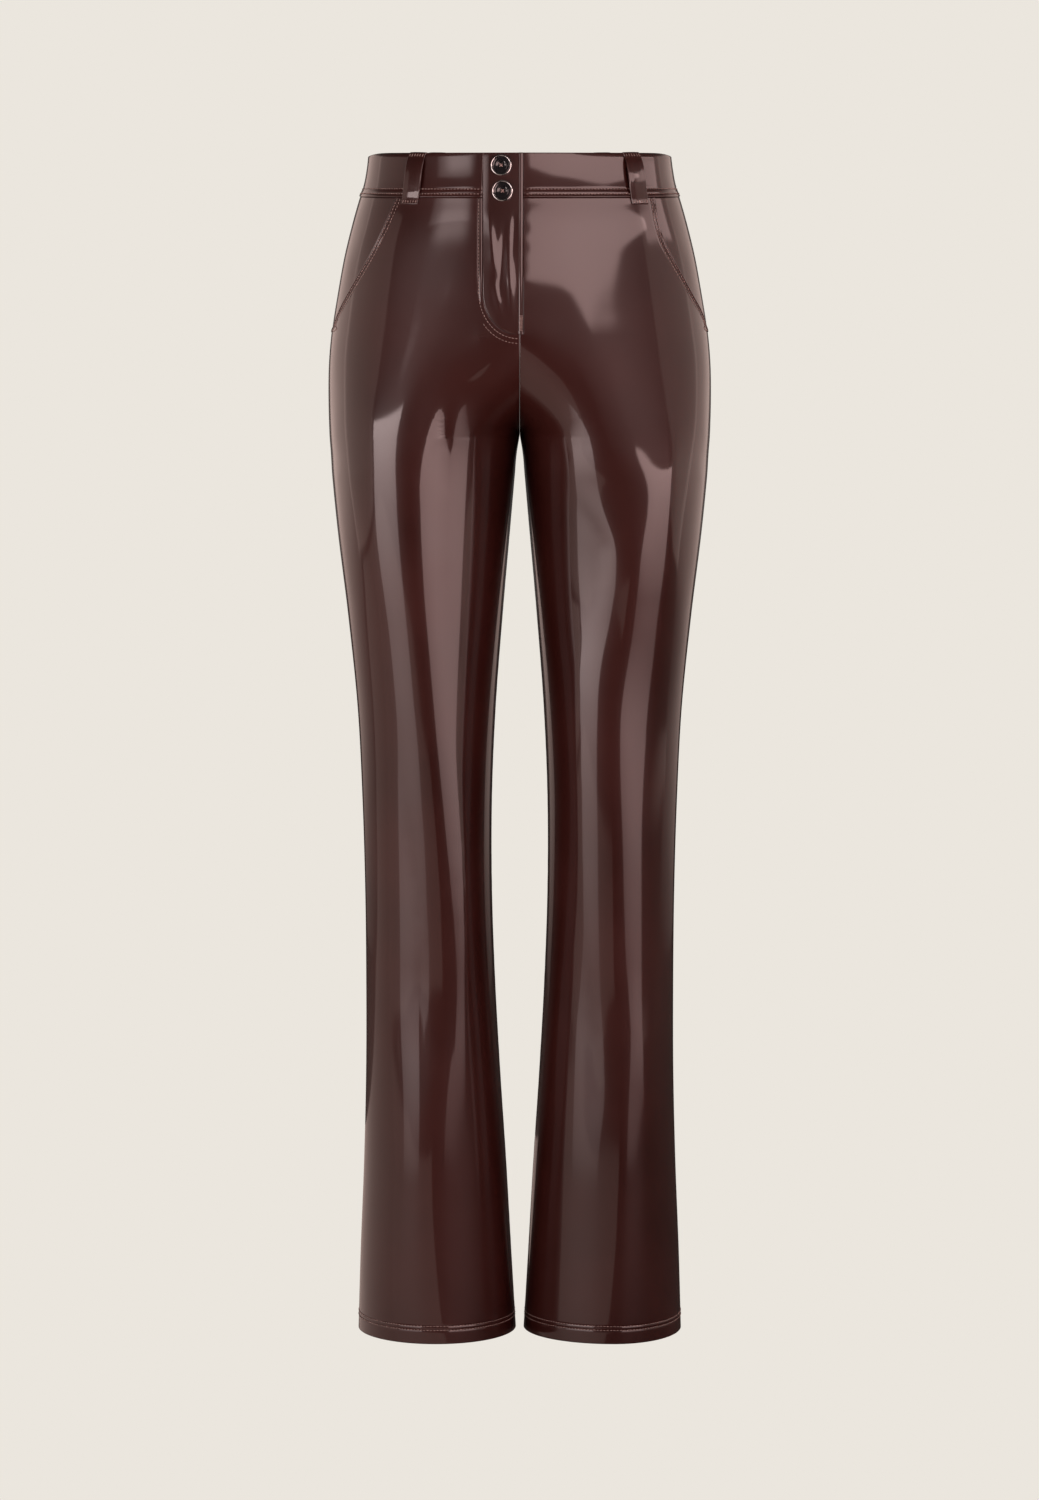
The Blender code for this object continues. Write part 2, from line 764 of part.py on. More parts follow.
def rim_profile():
    """The metal cup of a button: a flat back, a round edge and a well for the face."""
    radius, height = BUTTON_RADIUS, BUTTON_HEIGHT
    well = radius - BUTTON_RIM_WIDTH
    round_off = BUTTON_RIM_WIDTH / 2
    profile = [(0.0, BUTTON_WELL_FLOOR), (well, BUTTON_WELL_FLOOR)]
    for step in range(5):
        turn = math.pi * step / 4
        across = radius - round_off - round_off * math.cos(turn)
        profile.append((across, height - round_off + round_off * math.sin(turn)))
    profile += [(radius, 1.0 * MM), (radius - 1.0 * MM, 0.0), (0.0, 0.0)]
    return profile


def face_profile():
    """The face that fills a button's well: a dished disc."""
    radius = BUTTON_RADIUS - BUTTON_RIM_WIDTH - SEAM_GAP
    floor = BUTTON_WELL_FLOOR + SEAM_GAP
    return [
        (0.0, BUTTON_FACE_TOP - 0.5 * MM),
        (radius * 0.45, BUTTON_FACE_TOP - 0.4 * MM),
        (radius * 0.85, BUTTON_FACE_TOP),
        (radius, BUTTON_FACE_TOP - 0.2 * MM),
        (radius, floor),
        (0.0, floor),
    ]


def button(place, rim_material, face_material, collection):
    """A button on the fly panel: a metal rim and back, and a dark face."""
    seat = front_place(place.across, place.drop, BUTTON_SEAT)
    outward = (front_place(place.across, place.drop, 1.0) - front_place(place.across, place.drop, 0.0))
    turn = outward.to_track_quat("Z", "Y")
    pieces = (("_rim", rim_profile(), rim_material), ("_face", face_profile(), face_material))
    for ending, profile, material in pieces:
        name = place.name + ending
        part = add_object(name, turned_mesh(name, profile), material, collection)
        part.location = seat
        part.rotation_mode = "QUATERNION"
        part.rotation_quaternion = turn


def clear_scene():
    """Removes whatever the scene holds."""
    for item in list(bpy.data.objects):
        bpy.data.objects.remove(item, do_unlink=True)


def main():
    """Builds the whole garment."""
    clear_scene()
    collection = bpy.data.collections.new("flared_trousers")
    bpy.context.scene.collection.children.link(collection)
    cloth_names = ("front", "back", "waistband", "fly", "hip_panel", "belt_loop")
    cloths = {}
    for name in cloth_names:
        cloths[name] = make_material(name + "_cloth", CLOTH_COLOUR, CLOTH_ROUGHNESS, coat=1.0)
    rim = make_material("button_rim", RIM_COLOUR, 0.18, metallic=1.0)
    face = make_material("button_face", BUTTON_FACE_COLOUR, 0.08, coat=1.0)
    for side in ("right", "left"):
        front_panel(side, cloths["front"], collection)
        back_panel(side, cloths["back"], collection)
        hip_panel(side, cloths["hip_panel"], collection)
        waistband(side, cloths["waistband"], collection)
    fly_panel(cloths["fly"], collection)
    for loop in LOOPS:
        belt_loop(loop, cloths["belt_loop"], collection)
    for place in BUTTONS:
        button(place, rim, face, collection)


main()
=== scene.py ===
"""The looks of a pair of flared trousers in glossy coated stretch cloth.

Metres, +Z up, the front faces -Y. "Right" and "left" are the wearer's, so the
right leg lies at -X. A place on the cloth has a drop below the waistband's top
edge and an angle round its half of the garment: -180 is the inseam seen from
the front, -90 the front, 0 the side, 90 the back and 180 the inseam again.
"""

import math
from collections import namedtuple

import bmesh
import bpy
import numpy as np
from mathutils import Matrix, Vector


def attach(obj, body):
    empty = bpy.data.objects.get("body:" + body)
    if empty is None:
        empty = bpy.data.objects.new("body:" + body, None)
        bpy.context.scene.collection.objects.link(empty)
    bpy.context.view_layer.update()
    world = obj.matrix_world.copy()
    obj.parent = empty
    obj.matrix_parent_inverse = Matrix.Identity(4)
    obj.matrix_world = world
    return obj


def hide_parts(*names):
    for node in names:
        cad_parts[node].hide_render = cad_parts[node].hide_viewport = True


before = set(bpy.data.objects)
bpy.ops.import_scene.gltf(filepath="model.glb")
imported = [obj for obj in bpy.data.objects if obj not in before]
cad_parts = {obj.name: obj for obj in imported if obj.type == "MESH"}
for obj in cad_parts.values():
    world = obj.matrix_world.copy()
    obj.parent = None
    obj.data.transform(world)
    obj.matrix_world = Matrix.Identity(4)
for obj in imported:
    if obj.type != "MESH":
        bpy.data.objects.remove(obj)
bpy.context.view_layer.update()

MM = 0.001
SIDES = ("right", "left")
SIGN = {"right": -1, "left": 1}


def table(columns, *rows):
    """A short table with named columns."""
    row_kind = namedtuple("Row", columns)
    return tuple(row_kind(*row) for row in rows)


def column(rows, name):
    """One column of a table."""
    return [getattr(row, name) for row in rows]


# ------------------------------------------------------------ named sizes

BAND_HEIGHT = 38 * MM
HEM_DROP = 1028 * MM
CROTCH_DROP = 242.5 * MM
RISE_BEND_DROP = 125 * MM
RISE_POWER = 3.6
RISE_ROUND = 0.72
RISE_EASE = 24 * MM
HALF_GAP = 0.03 * MM
WALL = 1.1 * MM
BAND_WALL = 2.3 * MM
BAND_FLARE = 5.0 * MM
HEM_HEIGHT = 14 * MM
HEM_WALL = 2.2 * MM
HEM_ROWS = (12.0 * MM, 15.5 * MM)
BAND_ROWS = (2.8 * MM, 7.0 * MM)
POCKET_ROWS = (2.3 * MM, 5.4 * MM)
FLY_ROW = 3.4 * MM
FLY_LOW_ROW = 7.4 * MM
STITCH_LENGTH = 2.3 * MM
STITCH_PITCH = 2.9 * MM
THREAD_THICKNESS = 0.75 * MM
THREAD_LIFT = 0.12 * MM
SIDE_SEAM_BEHIND = 6 * MM
SIDE_DIP = 3.5 * MM
SIDE_DIP_ANGLE = 16.0
TOP_ROLL = 3.2 * MM
TOP_ROLL_DROP = 4.5 * MM

FLY_RIGHT_EDGE = 31.5 * MM
FLY_LEFT_EDGE = 3.0 * MM
FLY_BEND_DROP = 116 * MM
FLY_CURVE_DROP = 154 * MM
FLY_END_DROP = 153.5 * MM
FLY_CURVE_POWER = 2.1
FLY_WALL = 1.6 * MM
FLY_PIPING_WIDTH = 4.0 * MM
FLY_PIPING_HEIGHT = 0.9 * MM

POCKET_UNDERLAP = 9 * MM
POCKET_TIP_WIDTH = 3.0 * MM
POCKET_SINK = 2.0 * MM
POCKET_END_DROP = 156 * MM

LOOP_WIDTH = 14 * MM
LOOP_WALL = 1.4 * MM
LOOP_TOP_DROP = 0.4 * MM
LOOP_END_DROP = 44 * MM

BUTTON_RADIUS = 8.9 * MM
BUTTON_RIM_WIDTH = 1.3 * MM
BUTTON_HEIGHT = 3.0 * MM
BUTTON_SEAT = 0.5 * MM
BUTTON_STEPS = 96
# The least angles that shade as sharp edges.
CLOTH_EDGE, BUTTON_EDGE = math.radians(50), math.radians(40)

CAMERA_DISTANCE = 5.3

EDGE_ROUND = 0.55 * MM
# Distances from a panel's edge at which its closest columns lie, in mm.
EDGE_COLUMNS = (0.0, 0.12, 0.3, 0.55, 0.9, 1.3, 1.7, 2.1, 2.6, 3.2, 3.8, 4.5, 5.1, 5.7, 6.6)
ROW_STEP = 3.0 * MM

# The sections, in mm: half width, inner edge, depths in front and behind, where
# side and inseam lie in depth, squareness, and how far each leg's middle leans out.
SECTIONS = table(
    "drop outer inner front back side inseam square right left",
    (0, 130.4, 0, 97, 92, 2, 12, 2.30, 0, 0),
    (15, 132.6, 0, 99, 94, 2, 12, 2.30, 0, 0),
    (30, 135.2, 0, 101, 97, 2, 12, 2.30, 0, 0),
    (38, 138.0, 0, 102, 99, 2, 12, 2.30, 0, 0),
    (60, 144.4, 0, 105, 105, 3, 12, 2.28, 0, 0),
    (90, 151.8, 0, 107, 113, 3, 12, 2.25, 0, 0),
    (120, 157.4, 0, 108, 120, 4, 12, 2.22, 0, 0),
    (150, 162.3, 0, 108, 126, 4, 12, 2.20, 3, 3),
    (180, 165.2, 0, 107, 129, 4, 12, 2.18, 8, 8),
    (210, 165.8, 0, 106, 127, 4, 12, 2.15, 12, 12),
    (242.5, 165.0, 0, 104, 120, 3, 12, 2.12, 14.5, 15),
    (260, 163.8, 2.6, 103, 115, 3, 11, 2.10, 15, 15.5),
    (280, 162.6, 4.3, 102, 109, 2, 10, 2.08, 15, 15),
    (330, 157.7, 8.7, 97, 98, 2, 8, 2.06, 12, 13),
    (400, 149.2, 14.8, 90, 87, 1, 6, 2.05, 7, 8.5),
    (480, 141.2, 20.9, 82, 77, 0, 3, 2.05, 1, -2),
    (560, 137.2, 24.2, 77, 71, 0, 1, 2.05, -5.5, -1),
    (640, 135.0, 24.2, 74, 69, 0, 0, 2.05, -9.5, 1.5),
    (720, 134.3, 21.5, 73, 70, 0, 0, 2.04, -6, 5),
    (800, 134.6, 17.1, 74, 72, 0, 0, 2.03, -3, 8),
    (880, 136.6, 11.9, 76, 76, 1, 1, 2.02, -1, 9),
    (960, 139.8, 7.4, 79, 81, 1, 1, 2.00, 0, 9),
    (1028, 141.8, 3.4, 82, 84, 1, 1, 2.00, 0, 9),
)

# The pocket lines, as shares of the half width, by drop in mm.
POCKET_LINE = table(
    "drop right left",
    (38, 0.765, 0.836),
    (60, 0.798, 0.827),
    (75, 0.825, 0.836),
    (90, 0.858, 0.865),
    (106, 0.900, 0.905),
    (122, 0.942, 0.944),
    (137, 0.975, 0.980),
    (150, 0.992, 0.995),
)

# Soft folds: drop and half length in mm, angle, slant and half width in
# degrees, and height in mm, below nought where it is a trough.
FOLDS = table(
    "side drop reach angle slant width height",
    ("right", 330, 95, -58, -14, 16, 2.2),
    ("right", 560, 190, -104, -10, 18, 2.4),
    ("right", 880, 170, -72, 6, 20, 2.6),
    ("right", 262, 52, 118, 16, 30, -4.0),
    ("right", 322, 60, 92, -20, 26, 3.0),
    ("right", 545, 70, 96, 10, 30, -3.4),
    ("right", 905, 140, 118, -8, 24, 3.0),
    ("left", 318, 90, -66, 12, 15, 2.6),
    ("left", 590, 180, -110, 8, 17, 2.6),
    ("left", 860, 190, -70, -8, 20, 2.2),
    ("left", 259, 50, 114, -14, 30, -4.2),
    ("left", 316, 56, 88, 18, 26, 2.8),
    ("left", 532, 66, 102, -12, 30, -3.8),
    ("left", 890, 150, 112, 8, 24, 3.2),
)
FOLD_FADE = 22 * MM

# The belt loops, each at a share of the half width.
LOOPS = table(
    "name side face share",
    ("belt_loop_front_right", "right", "front", 0.668),
    ("belt_loop_front_left", "left", "front", 0.732),
    ("belt_loop_back_right", "right", "back", 0.560),
    ("belt_loop_back_left", "left", "back", 0.560),
    ("belt_loop_back_centre", "left", "back", 0.0),
)
# How far a belt loop stands off the waistband, by drop, both in mm.
LOOP_STANDOFF = ((0.4, 0.3), (4, 0.4), (9, 1.9), (16, 2.8), (25, 2.9), (33, 2.0), (39, 0.6), (44, 0.3))

BUTTONS = table(
    "name across drop",
    ("button_upper", -15.7 * MM, 11.0 * MM),
    ("button_lower", -14.6 * MM, 32.6 * MM),
)

# Where the cloth's outward direction on the front of a leg is turned this far
# from straight ahead (inward below nought), in mm across from the middle.
FACET_TURNS = (-31.0, -10.0, 10.0, 31.0)
FACET_COLUMNS = "drop inner_far inner_near outer_near outer_far"
FACETS = {
    "right": table(
        FACET_COLUMNS,
        (168, 60.0, 88.0, 112.2, 130.5),
        (185, 61.0, 88.0, 110.5, 130.4),
        (202, 62.0, 88.2, 109.6, 129.5),
        (219, 63.7, 88.5, 108.7, 128.6),
        (253, 65.3, 88.0, 107.9, 126.9),
        (296, 67.1, 88.4, 105.5, 124.5),
        (339, 67.2, 86.0, 102.2, 120.4),
        (382, 65.6, 83.5, 98.1, 116.3),
        (425, 63.2, 79.4, 94.0, 111.3),
        (468, 60.7, 76.1, 90.7, 107.1),
        (511, 57.4, 71.9, 86.5, 102.9),
        (555, 53.2, 67.7, 84.0, 98.7),
        (598, 49.8, 62.7, 80.7, 94.5),
        (641, 48.2, 58.4, 79.9, 88.6),
        (685, 46.5, 55.9, 79.1, 84.3),
        (772, 46.5, 53.4, 79.3, 82.7),
        (859, 48.3, 51.7, 78.5, 81.1),
    ),
    "left": table(
        FACET_COLUMNS,
        (252, 45.0, 70.0, 128.0, 131.7),
        (273, 45.0, 70.0, 125.6, 130.1),
        (295, 50.0, 74.0, 118.0, 129.3),
        (333, 72.0, 84.7, 107.0, 126.1),
        (346, 70.0, 85.6, 104.5, 125.3),
        (381, 65.2, 84.9, 102.0, 122.0),
        (403, 56.8, 82.4, 100.4, 119.5),
        (425, 52.6, 75.6, 96.2, 117.0),
        (447, 50.0, 71.4, 91.1, 113.6),
        (468, 50.9, 69.7, 87.7, 110.2),
        (490, 51.8, 69.8, 86.9, 107.7),
        (512, 52.7, 69.8, 87.0, 104.3),
        (555, 53.6, 70.8, 88.8, 103.5),
        (599, 54.6, 71.7, 91.5, 104.5),
        (642, 55.5, 71.8, 92.5, 105.5),
        (686, 58.1, 71.8, 94.3, 105.6),
        (729, 60.7, 72.8, 97.9, 104.9),
        (816, 66.4, 78.9, 104.1, 107.6),
    ),
}
# How strongly the facets hold, by drop in mm: they come in and fade out.
FACET_IN = {"right": (190, 250), "left": (225, 260)}
FACET_OUT = {"right": (700, 900), "left": (740, 900)}

# The height, in metres above the waist's middle, at which the front mirrors the
# room 1.42 m ahead of it: at each drop, at the outer ones of five distances
# across in mm. The inner ones that a row leaves out are free.
MIRROR_ACROSS = (15, 45, 75, 105, 130)
MIRRORS = {
    "right": table(
        "drop heights",
        (60, ()),
        (90, (0.08, 0.12, 0.14)),
        (120, (0.05, 0.06, 0.07)),
        (150, (-0.10, 0.01, 0.03, 0.04)),
        (165, (-0.25, -0.04, -0.01, 0.00)),
        (200, (-0.60, -0.20, -0.12, -0.08)),
        (240, (-0.62, -0.50, -0.42, -0.38)),
        (300, (-0.65, -0.65, -0.62, -0.60)),
        (400, (-0.74, -0.74, -0.74, -0.74)),
        (500, (-0.81, -0.81, -0.81, -0.81)),
        (600, (-0.88, -0.88, -0.88, -0.88)),
        (700, (-0.96, -0.96, -0.96, -0.96)),
        (780, ()),
    ),
    "left": table(
        "drop heights",
        (60, ()),
        (90, (0.07, 0.11, 0.14)),
        (120, (-0.09, -0.01, 0.04, 0.06)),
        (140, (-0.15, -0.05, 0.01, 0.04)),
        (160, (-0.22, -0.12, -0.07, -0.04)),
        (200, (-0.50, -0.15, -0.11, -0.08)),
        (225, (-0.75, -0.18, -0.10, -0.06)),
        (250, (-0.80, -0.30, -0.13, -0.18)),
        (277, (-1.03, -1.00, -0.16, -0.34)),
        (300, (-1.03, -1.00, -0.20, -0.46)),
        (335, (-1.03, -0.96, -0.32, -0.58)),
        (380, (-0.95, -0.70, -0.70, -0.70)),
        (430, (-0.70, -0.70, -0.69, -0.68)),
        (500, (-0.74, -0.74, -0.70, -0.70)),
        (600, (-0.85, -0.85, -0.85, -0.85)),
        (700, (-0.93, -0.93, -0.93, -0.93)),
        (780, ()),
    ),
}
MIRROR_REACH = 1.42

# Creases on the front: from one place to another (across and drop, in mm),
# half width and height in mm, below nought where it is a trough.
CREASES = table(
    "side across_1 drop_1 across_2 drop_2 width height",
    ("left", 43, 690, 23, 910, 4.5, -0.9),
    ("right", 50, 590, 51, 880, 3.5, 0.5),
    ("right", 60, 190, 96, 300, 7.0, 0.5),
)

# Upright crumples of the fly panel, as the folds above, with the place and the
# slant across in mm.
FLY_CRUMPLES = table(
    "across drop width reach height slant",
    (-24, 78, 3.4, 34, 0.7, 3),
    (-15, 92, 3.0, 40, -0.6, -3),
    (-8, 112, 2.6, 36, 0.7, 2),
    (-19, 124, 3.0, 20, 0.45, 4),
    (-5, 70, 2.4, 24, -0.4, -1),
)

# ------------------------------------------------------------ the surface


def read_table(places, values, at):
    """A smooth curve through the rows of a table, at each of these places."""
    places = np.asarray(places, float)
    values = np.asarray(values, float)
    at = np.clip(np.asarray(at, float), places[0], places[-1])
    low = np.clip(np.searchsorted(places, at) - 1, 0, len(places) - 2)
    before = np.maximum(np.arange(len(places)) - 1, 0)
    after = np.minimum(np.arange(len(places)) + 1, len(places) - 1)
    slopes = (values[after] - values[before]) / (places[after] - places[before])
    span = places[low + 1] - places[low]
    share = (at - places[low]) / span
    square, cube = share**2, share**3
    return (
        (2 * cube - 3 * square + 1) * values[low]
        + (cube - 2 * square + share) * span * slopes[low]
        + (3 * square - 2 * cube) * values[low + 1]
        + (cube - square) * span * slopes[low + 1]
    )


def section_size(name, drops):
    """One size of the sections at each drop, in metres."""
    return read_table(column(SECTIONS, "drop"), column(SECTIONS, name), drops / MM) * MM


def rise_share(drops):
    """How much of the depth is left at the middle seam: 1 above, 0 at the crotch."""
    share = np.clip((drops - RISE_BEND_DROP) / (CROTCH_DROP - RISE_BEND_DROP), 0, 1)
    return (1 - share**RISE_POWER) ** RISE_ROUND


class Rings:
    """The sections of one half of the garment, right or left, a row for each drop."""

    def __init__(self, side, drops):
        drops = np.asarray(drops, float)
        self.drops = drops
        self.square = section_size("square", drops) / MM
        self.front = -section_size("front", drops)
        self.back = section_size("back", drops)
        self.side = section_size("side", drops)
        self.inseam = section_size("inseam", drops)
        roll = np.maximum(1 - drops / TOP_ROLL_DROP, 0) ** 2
        self.outer = section_size("outer", drops) - TOP_ROLL * roll
        inner = np.maximum(section_size("inner", drops), HALF_GAP)
        lean = section_size(side, drops)
        above = drops < CROTCH_DROP
        rise = np.clip(rise_share(drops), 0, 1)
        begun = np.maximum(drops - RISE_BEND_DROP, 0) / RISE_EASE
        cut = (1 - rise**self.square) ** (1 / self.square) * (1 - np.exp(-(begun**2)))
        joined = self.outer * cut / (1 + cut) + lean * cut
        self.middle = np.where(above, joined, (self.outer + inner) / 2 + lean)
        whole = np.where(cut > 0, self.middle / np.maximum(cut, 1e-9), self.outer)
        self.reach = np.where(above, whole, self.middle - inner)

    def points(self, angles):
        """x and y at these angles, which have a row for each drop."""
        grow = (slice(None),) + (None,) * (angles.ndim - 1)
        turn = np.radians(angles)
        power = (2 / self.square)[grow]
        extreme = np.where(angles < 0, self.front[grow], self.back[grow])
        outer_half = np.cos(turn) >= 0
        width = np.where(outer_half, (self.outer - self.middle)[grow], -self.reach[grow])
        centre = np.where(outer_half, self.side[grow], self.inseam[grow])
        x = self.middle[grow] + width * np.abs(np.cos(turn)) ** power
        return x, centre + (extreme - centre) * np.abs(np.sin(turn)) ** power

    def angle_at_x(self, x, face):
        """The angle on the front or back at which each section has this half width."""
        outer_half = x >= self.middle
        width = np.where(outer_half, self.outer - self.middle, self.reach)
        share = np.clip(np.abs(x - self.middle) / width, 0, 1)
        turn = np.degrees(np.arccos(share ** (self.square / 2)))
        turn = np.where(outer_half, turn, 180 - turn)
        return -turn if face == "front" else turn

    def angle_at_side(self, y):
        """The angle near the side at which each section has this depth."""
        extreme = np.where(y < self.side, self.front, self.back)
        share = np.clip((y - self.side) / (extreme - self.side), 0, 1)
        return np.sign(y - self.side) * np.degrees(np.arcsin(share ** (self.square / 2)))

    def angle_at_inseam(self, gap, face):
        """The angle that is this far from the inseam on the front or the back."""
        extreme = self.front if face == "front" else self.back
        share = gap / np.abs(extreme - self.inseam)
        turn = 180 - np.degrees(np.arcsin(share ** (self.square / 2)))
        return -turn if face == "front" else turn


def grid_points(x, y, drops):
    """Points on a grid, from x, y and the drop of each row or point."""
    return np.stack([x, y, np.broadcast_to(BAND_HEIGHT / 2 - drops, x.shape)], axis=-1)


def bulge(fold, middle, across, drops):
    """How far a fold or crumple lifts the cloth: across from its middle, by drop in mm."""
    share = (drops - fold.drop) / fold.reach
    away = (across - middle - fold.slant * share) / fold.width
    return fold.height * np.clip(1 - share**2, 0, 1) ** 2 * np.exp(-(away**2))


def fold_height(side, drops, angles, x):
    """How far the folds lift the cloth."""
    folds = [fold for fold in FOLDS if fold.side == side]
    height = sum(bulge(fold, fold.angle, angles, drops / MM) for fold in folds) * MM
    return height * np.clip((x - HALF_GAP) / FOLD_FADE, 0, 1)


def unit(vectors):
    """Vectors at length 1."""
    return vectors / np.maximum(np.linalg.norm(vectors, axis=-1, keepdims=True), 1e-12)


def grid_normals(points, side):
    """The outward directions of a grid of points, down its rows and round its columns."""
    down = np.gradient(points, axis=0)
    around = np.gradient(points, axis=1)
    return unit(np.cross(down, around)) * SIGN[side]


def cloth(side, drops, angles):
    """Points and outward normals of the cloth, folds included, as grids."""
    x, y = Rings(side, drops).points(angles)
    rows = np.broadcast_to(drops[:, None], angles.shape)
    flat = np.gradient(np.stack([x, y], axis=-1), axis=1)
    outward = unit(np.stack([flat[..., 1], -flat[..., 0], np.zeros_like(x)], axis=-1))
    lift = fold_height(side, rows, angles, x)
    forward = np.where(angles < 0, look_up(RELIEF[side], x, rows), 0.0)
    points = grid_points(x, y - forward, rows) + outward * lift[..., None]
    points[..., 0] *= SIGN[side]
    return points, grid_normals(points, side)


def soft_step(value, start, end):
    """0 before the start, 1 after the end, smooth between."""
    share = np.clip((value - start) / (end - start), 0, 1)
    return share * share * (3 - 2 * share)


# The relief's table: its steps in mm and rounds of solving. It is calm, held to
# nothing, at the top and this near to the borders, in mm, and loosely held
# elsewhere, and is this stiff where no facet or mirrored height asks for a slope.
ACROSS_STEP, DROP_STEP = 1.5, 2.0
RELIEF_ROUNDS = 600
CALM_TOP_DROP = 46
FLY_CALM, INNER_CALM, OUTER_CALM = 4, 6, 7
LOOSE_HOLD = 1.5e-4
STIFF_ACROSS, STIFF_DOWN = 0.12, 0.4
RELIEF_ACROSS = np.arange(0.0, 169.0, ACROSS_STEP)
RELIEF_DROPS = np.arange(0.0, 1029.0, DROP_STEP)


def plain_front(side):
    """How far the front of a leg stands forward before its relief, in mm, and its edges."""
    rings = Rings(side, RELIEF_DROPS * MM)
    inner = np.where(rings.drops < CROTCH_DROP, 0.0, (rings.middle - rings.reach) / MM)
    outer = rings.outer / MM
    angles = []
    for across in RELIEF_ACROSS:
        within = np.clip(across, inner + 0.01, outer - 0.01)
        angles.append(rings.angle_at_x(within * MM, "front"))
    angles = np.stack(angles, axis=1)
    x, y = rings.points(angles)
    rows = np.broadcast_to(rings.drops[:, None], angles.shape)
    return (fold_height(side, rows, angles, x) - y) / MM, inner[:, None], outer[:, None]


def wanted_turns(side):
    """The slope across that the facets ask for, and how firmly, by drop and across."""
    places, *corners = zip(*FACETS[side])
    lines = np.stack([read_table(places, corner, RELIEF_DROPS) for corner in corners], axis=1)
    lines = np.maximum.accumulate(lines + np.arange(4) * 0.01, axis=1)
    between = (RELIEF_ACROSS[1:] + RELIEF_ACROSS[:-1]) / 2
    corner_slopes = -np.tan(np.radians(FACET_TURNS))
    slopes = np.stack([np.interp(between, line, corner_slopes) for line in lines])
    inside = (between > lines[:, :1]) & (between < lines[:, 3:])
    share = soft_step(RELIEF_DROPS, *FACET_IN[side]) * (1 - soft_step(RELIEF_DROPS, *FACET_OUT[side]))
    return slopes, inside * share[:, None]


def wanted_tilts(side, slopes_across):
    """The slope downwards that mirrors the wanted heights, and how firmly."""
    firm, heights = [], []
    known_rows = [row for row in MIRRORS[side] if row.heights]
    for row in MIRRORS[side]:
        known = np.arange(len(MIRROR_ACROSS)) >= len(MIRROR_ACROSS) - len(row.heights)
        firm.append(np.interp(RELIEF_ACROSS, MIRROR_ACROSS, known.astype(float)))
        nearest = min(known_rows, key=lambda other: abs(other.drop - row.drop)).heights
        heights.append(np.interp(RELIEF_ACROSS, MIRROR_ACROSS[-len(nearest) :], nearest))
    drops = np.array(column(MIRRORS[side], "drop"), float)
    between = (RELIEF_DROPS[1:] + RELIEF_DROPS[:-1]) / 2
    firm, heights = [
        np.stack([np.interp(between, drops, line) for line in np.array(lines).T], axis=1)
        for lines in (firm, heights)
    ]
    level = (BAND_HEIGHT / 2 - between * MM)[:, None]
    seen_from_above = (BAND_HEIGHT / 2 - level) / CAMERA_DISTANCE
    across = (slopes_across[1:] + slopes_across[:-1]) / 2
    tilts = ((heights - level) / MIRROR_REACH + seen_from_above) * (1 + across**2) / 2
    return tilts, firm * ((between < drops[-1]) & (between > drops[0]))[:, None]


def spread_back(across, down, shape):
    """Sums differences back onto the grid that they were taken from."""
    total = np.zeros(shape)
    total[:, 1:] += across / ACROSS_STEP
    total[:, :-1] -= across / ACROSS_STEP
    total[1:] += down / DROP_STEP
    total[:-1] -= down / DROP_STEP
    return total


def best_heights(want_across, pull_across, want_down, pull_down, hold):
    """The relief whose slopes come nearest to the wanted ones, in mm."""

    def response(heights):
        across = np.diff(heights, axis=1) / ACROSS_STEP * pull_across
        down = np.diff(heights, axis=0) / DROP_STEP * pull_down
        return spread_back(across, down, hold.shape) + hold * heights

    ease = np.zeros(hold.shape)
    for part in (ease[:, 1:], ease[:, :-1]):
        part += pull_across / ACROSS_STEP**2
    for part in (ease[1:], ease[:-1]):
        part += pull_down / DROP_STEP**2
    ease += hold
    heights = np.zeros(hold.shape)
    rest = spread_back(want_across * pull_across, want_down * pull_down, hold.shape)
    step = rest / ease
    strength = (rest * step).sum()
    for _ in range(RELIEF_ROUNDS):
        answer = response(step)
        size = strength / (step * answer).sum()
        heights += size * step
        rest = rest - size * answer
        eased = rest / ease
        following = (rest * eased).sum()
        step = eased + following / strength * step
        strength = following
    return heights


def crease_height(crease, across, drop):
    """How far one crease lifts the cloth, in mm."""
    start = np.array([crease.across_1, crease.drop_1])
    run = np.array([crease.across_2, crease.drop_2]) - start
    length = np.hypot(*run)
    along = ((across - start[0]) * run[0] + (drop - start[1]) * run[1]) / length**2
    away = ((across - start[0]) * run[1] - (drop - start[1]) * run[0]) / length
    window = np.clip(1 - (2 * along - 1) ** 2, 0, 1)
    return crease.height * window * np.exp(-((away / crease.width) ** 2))


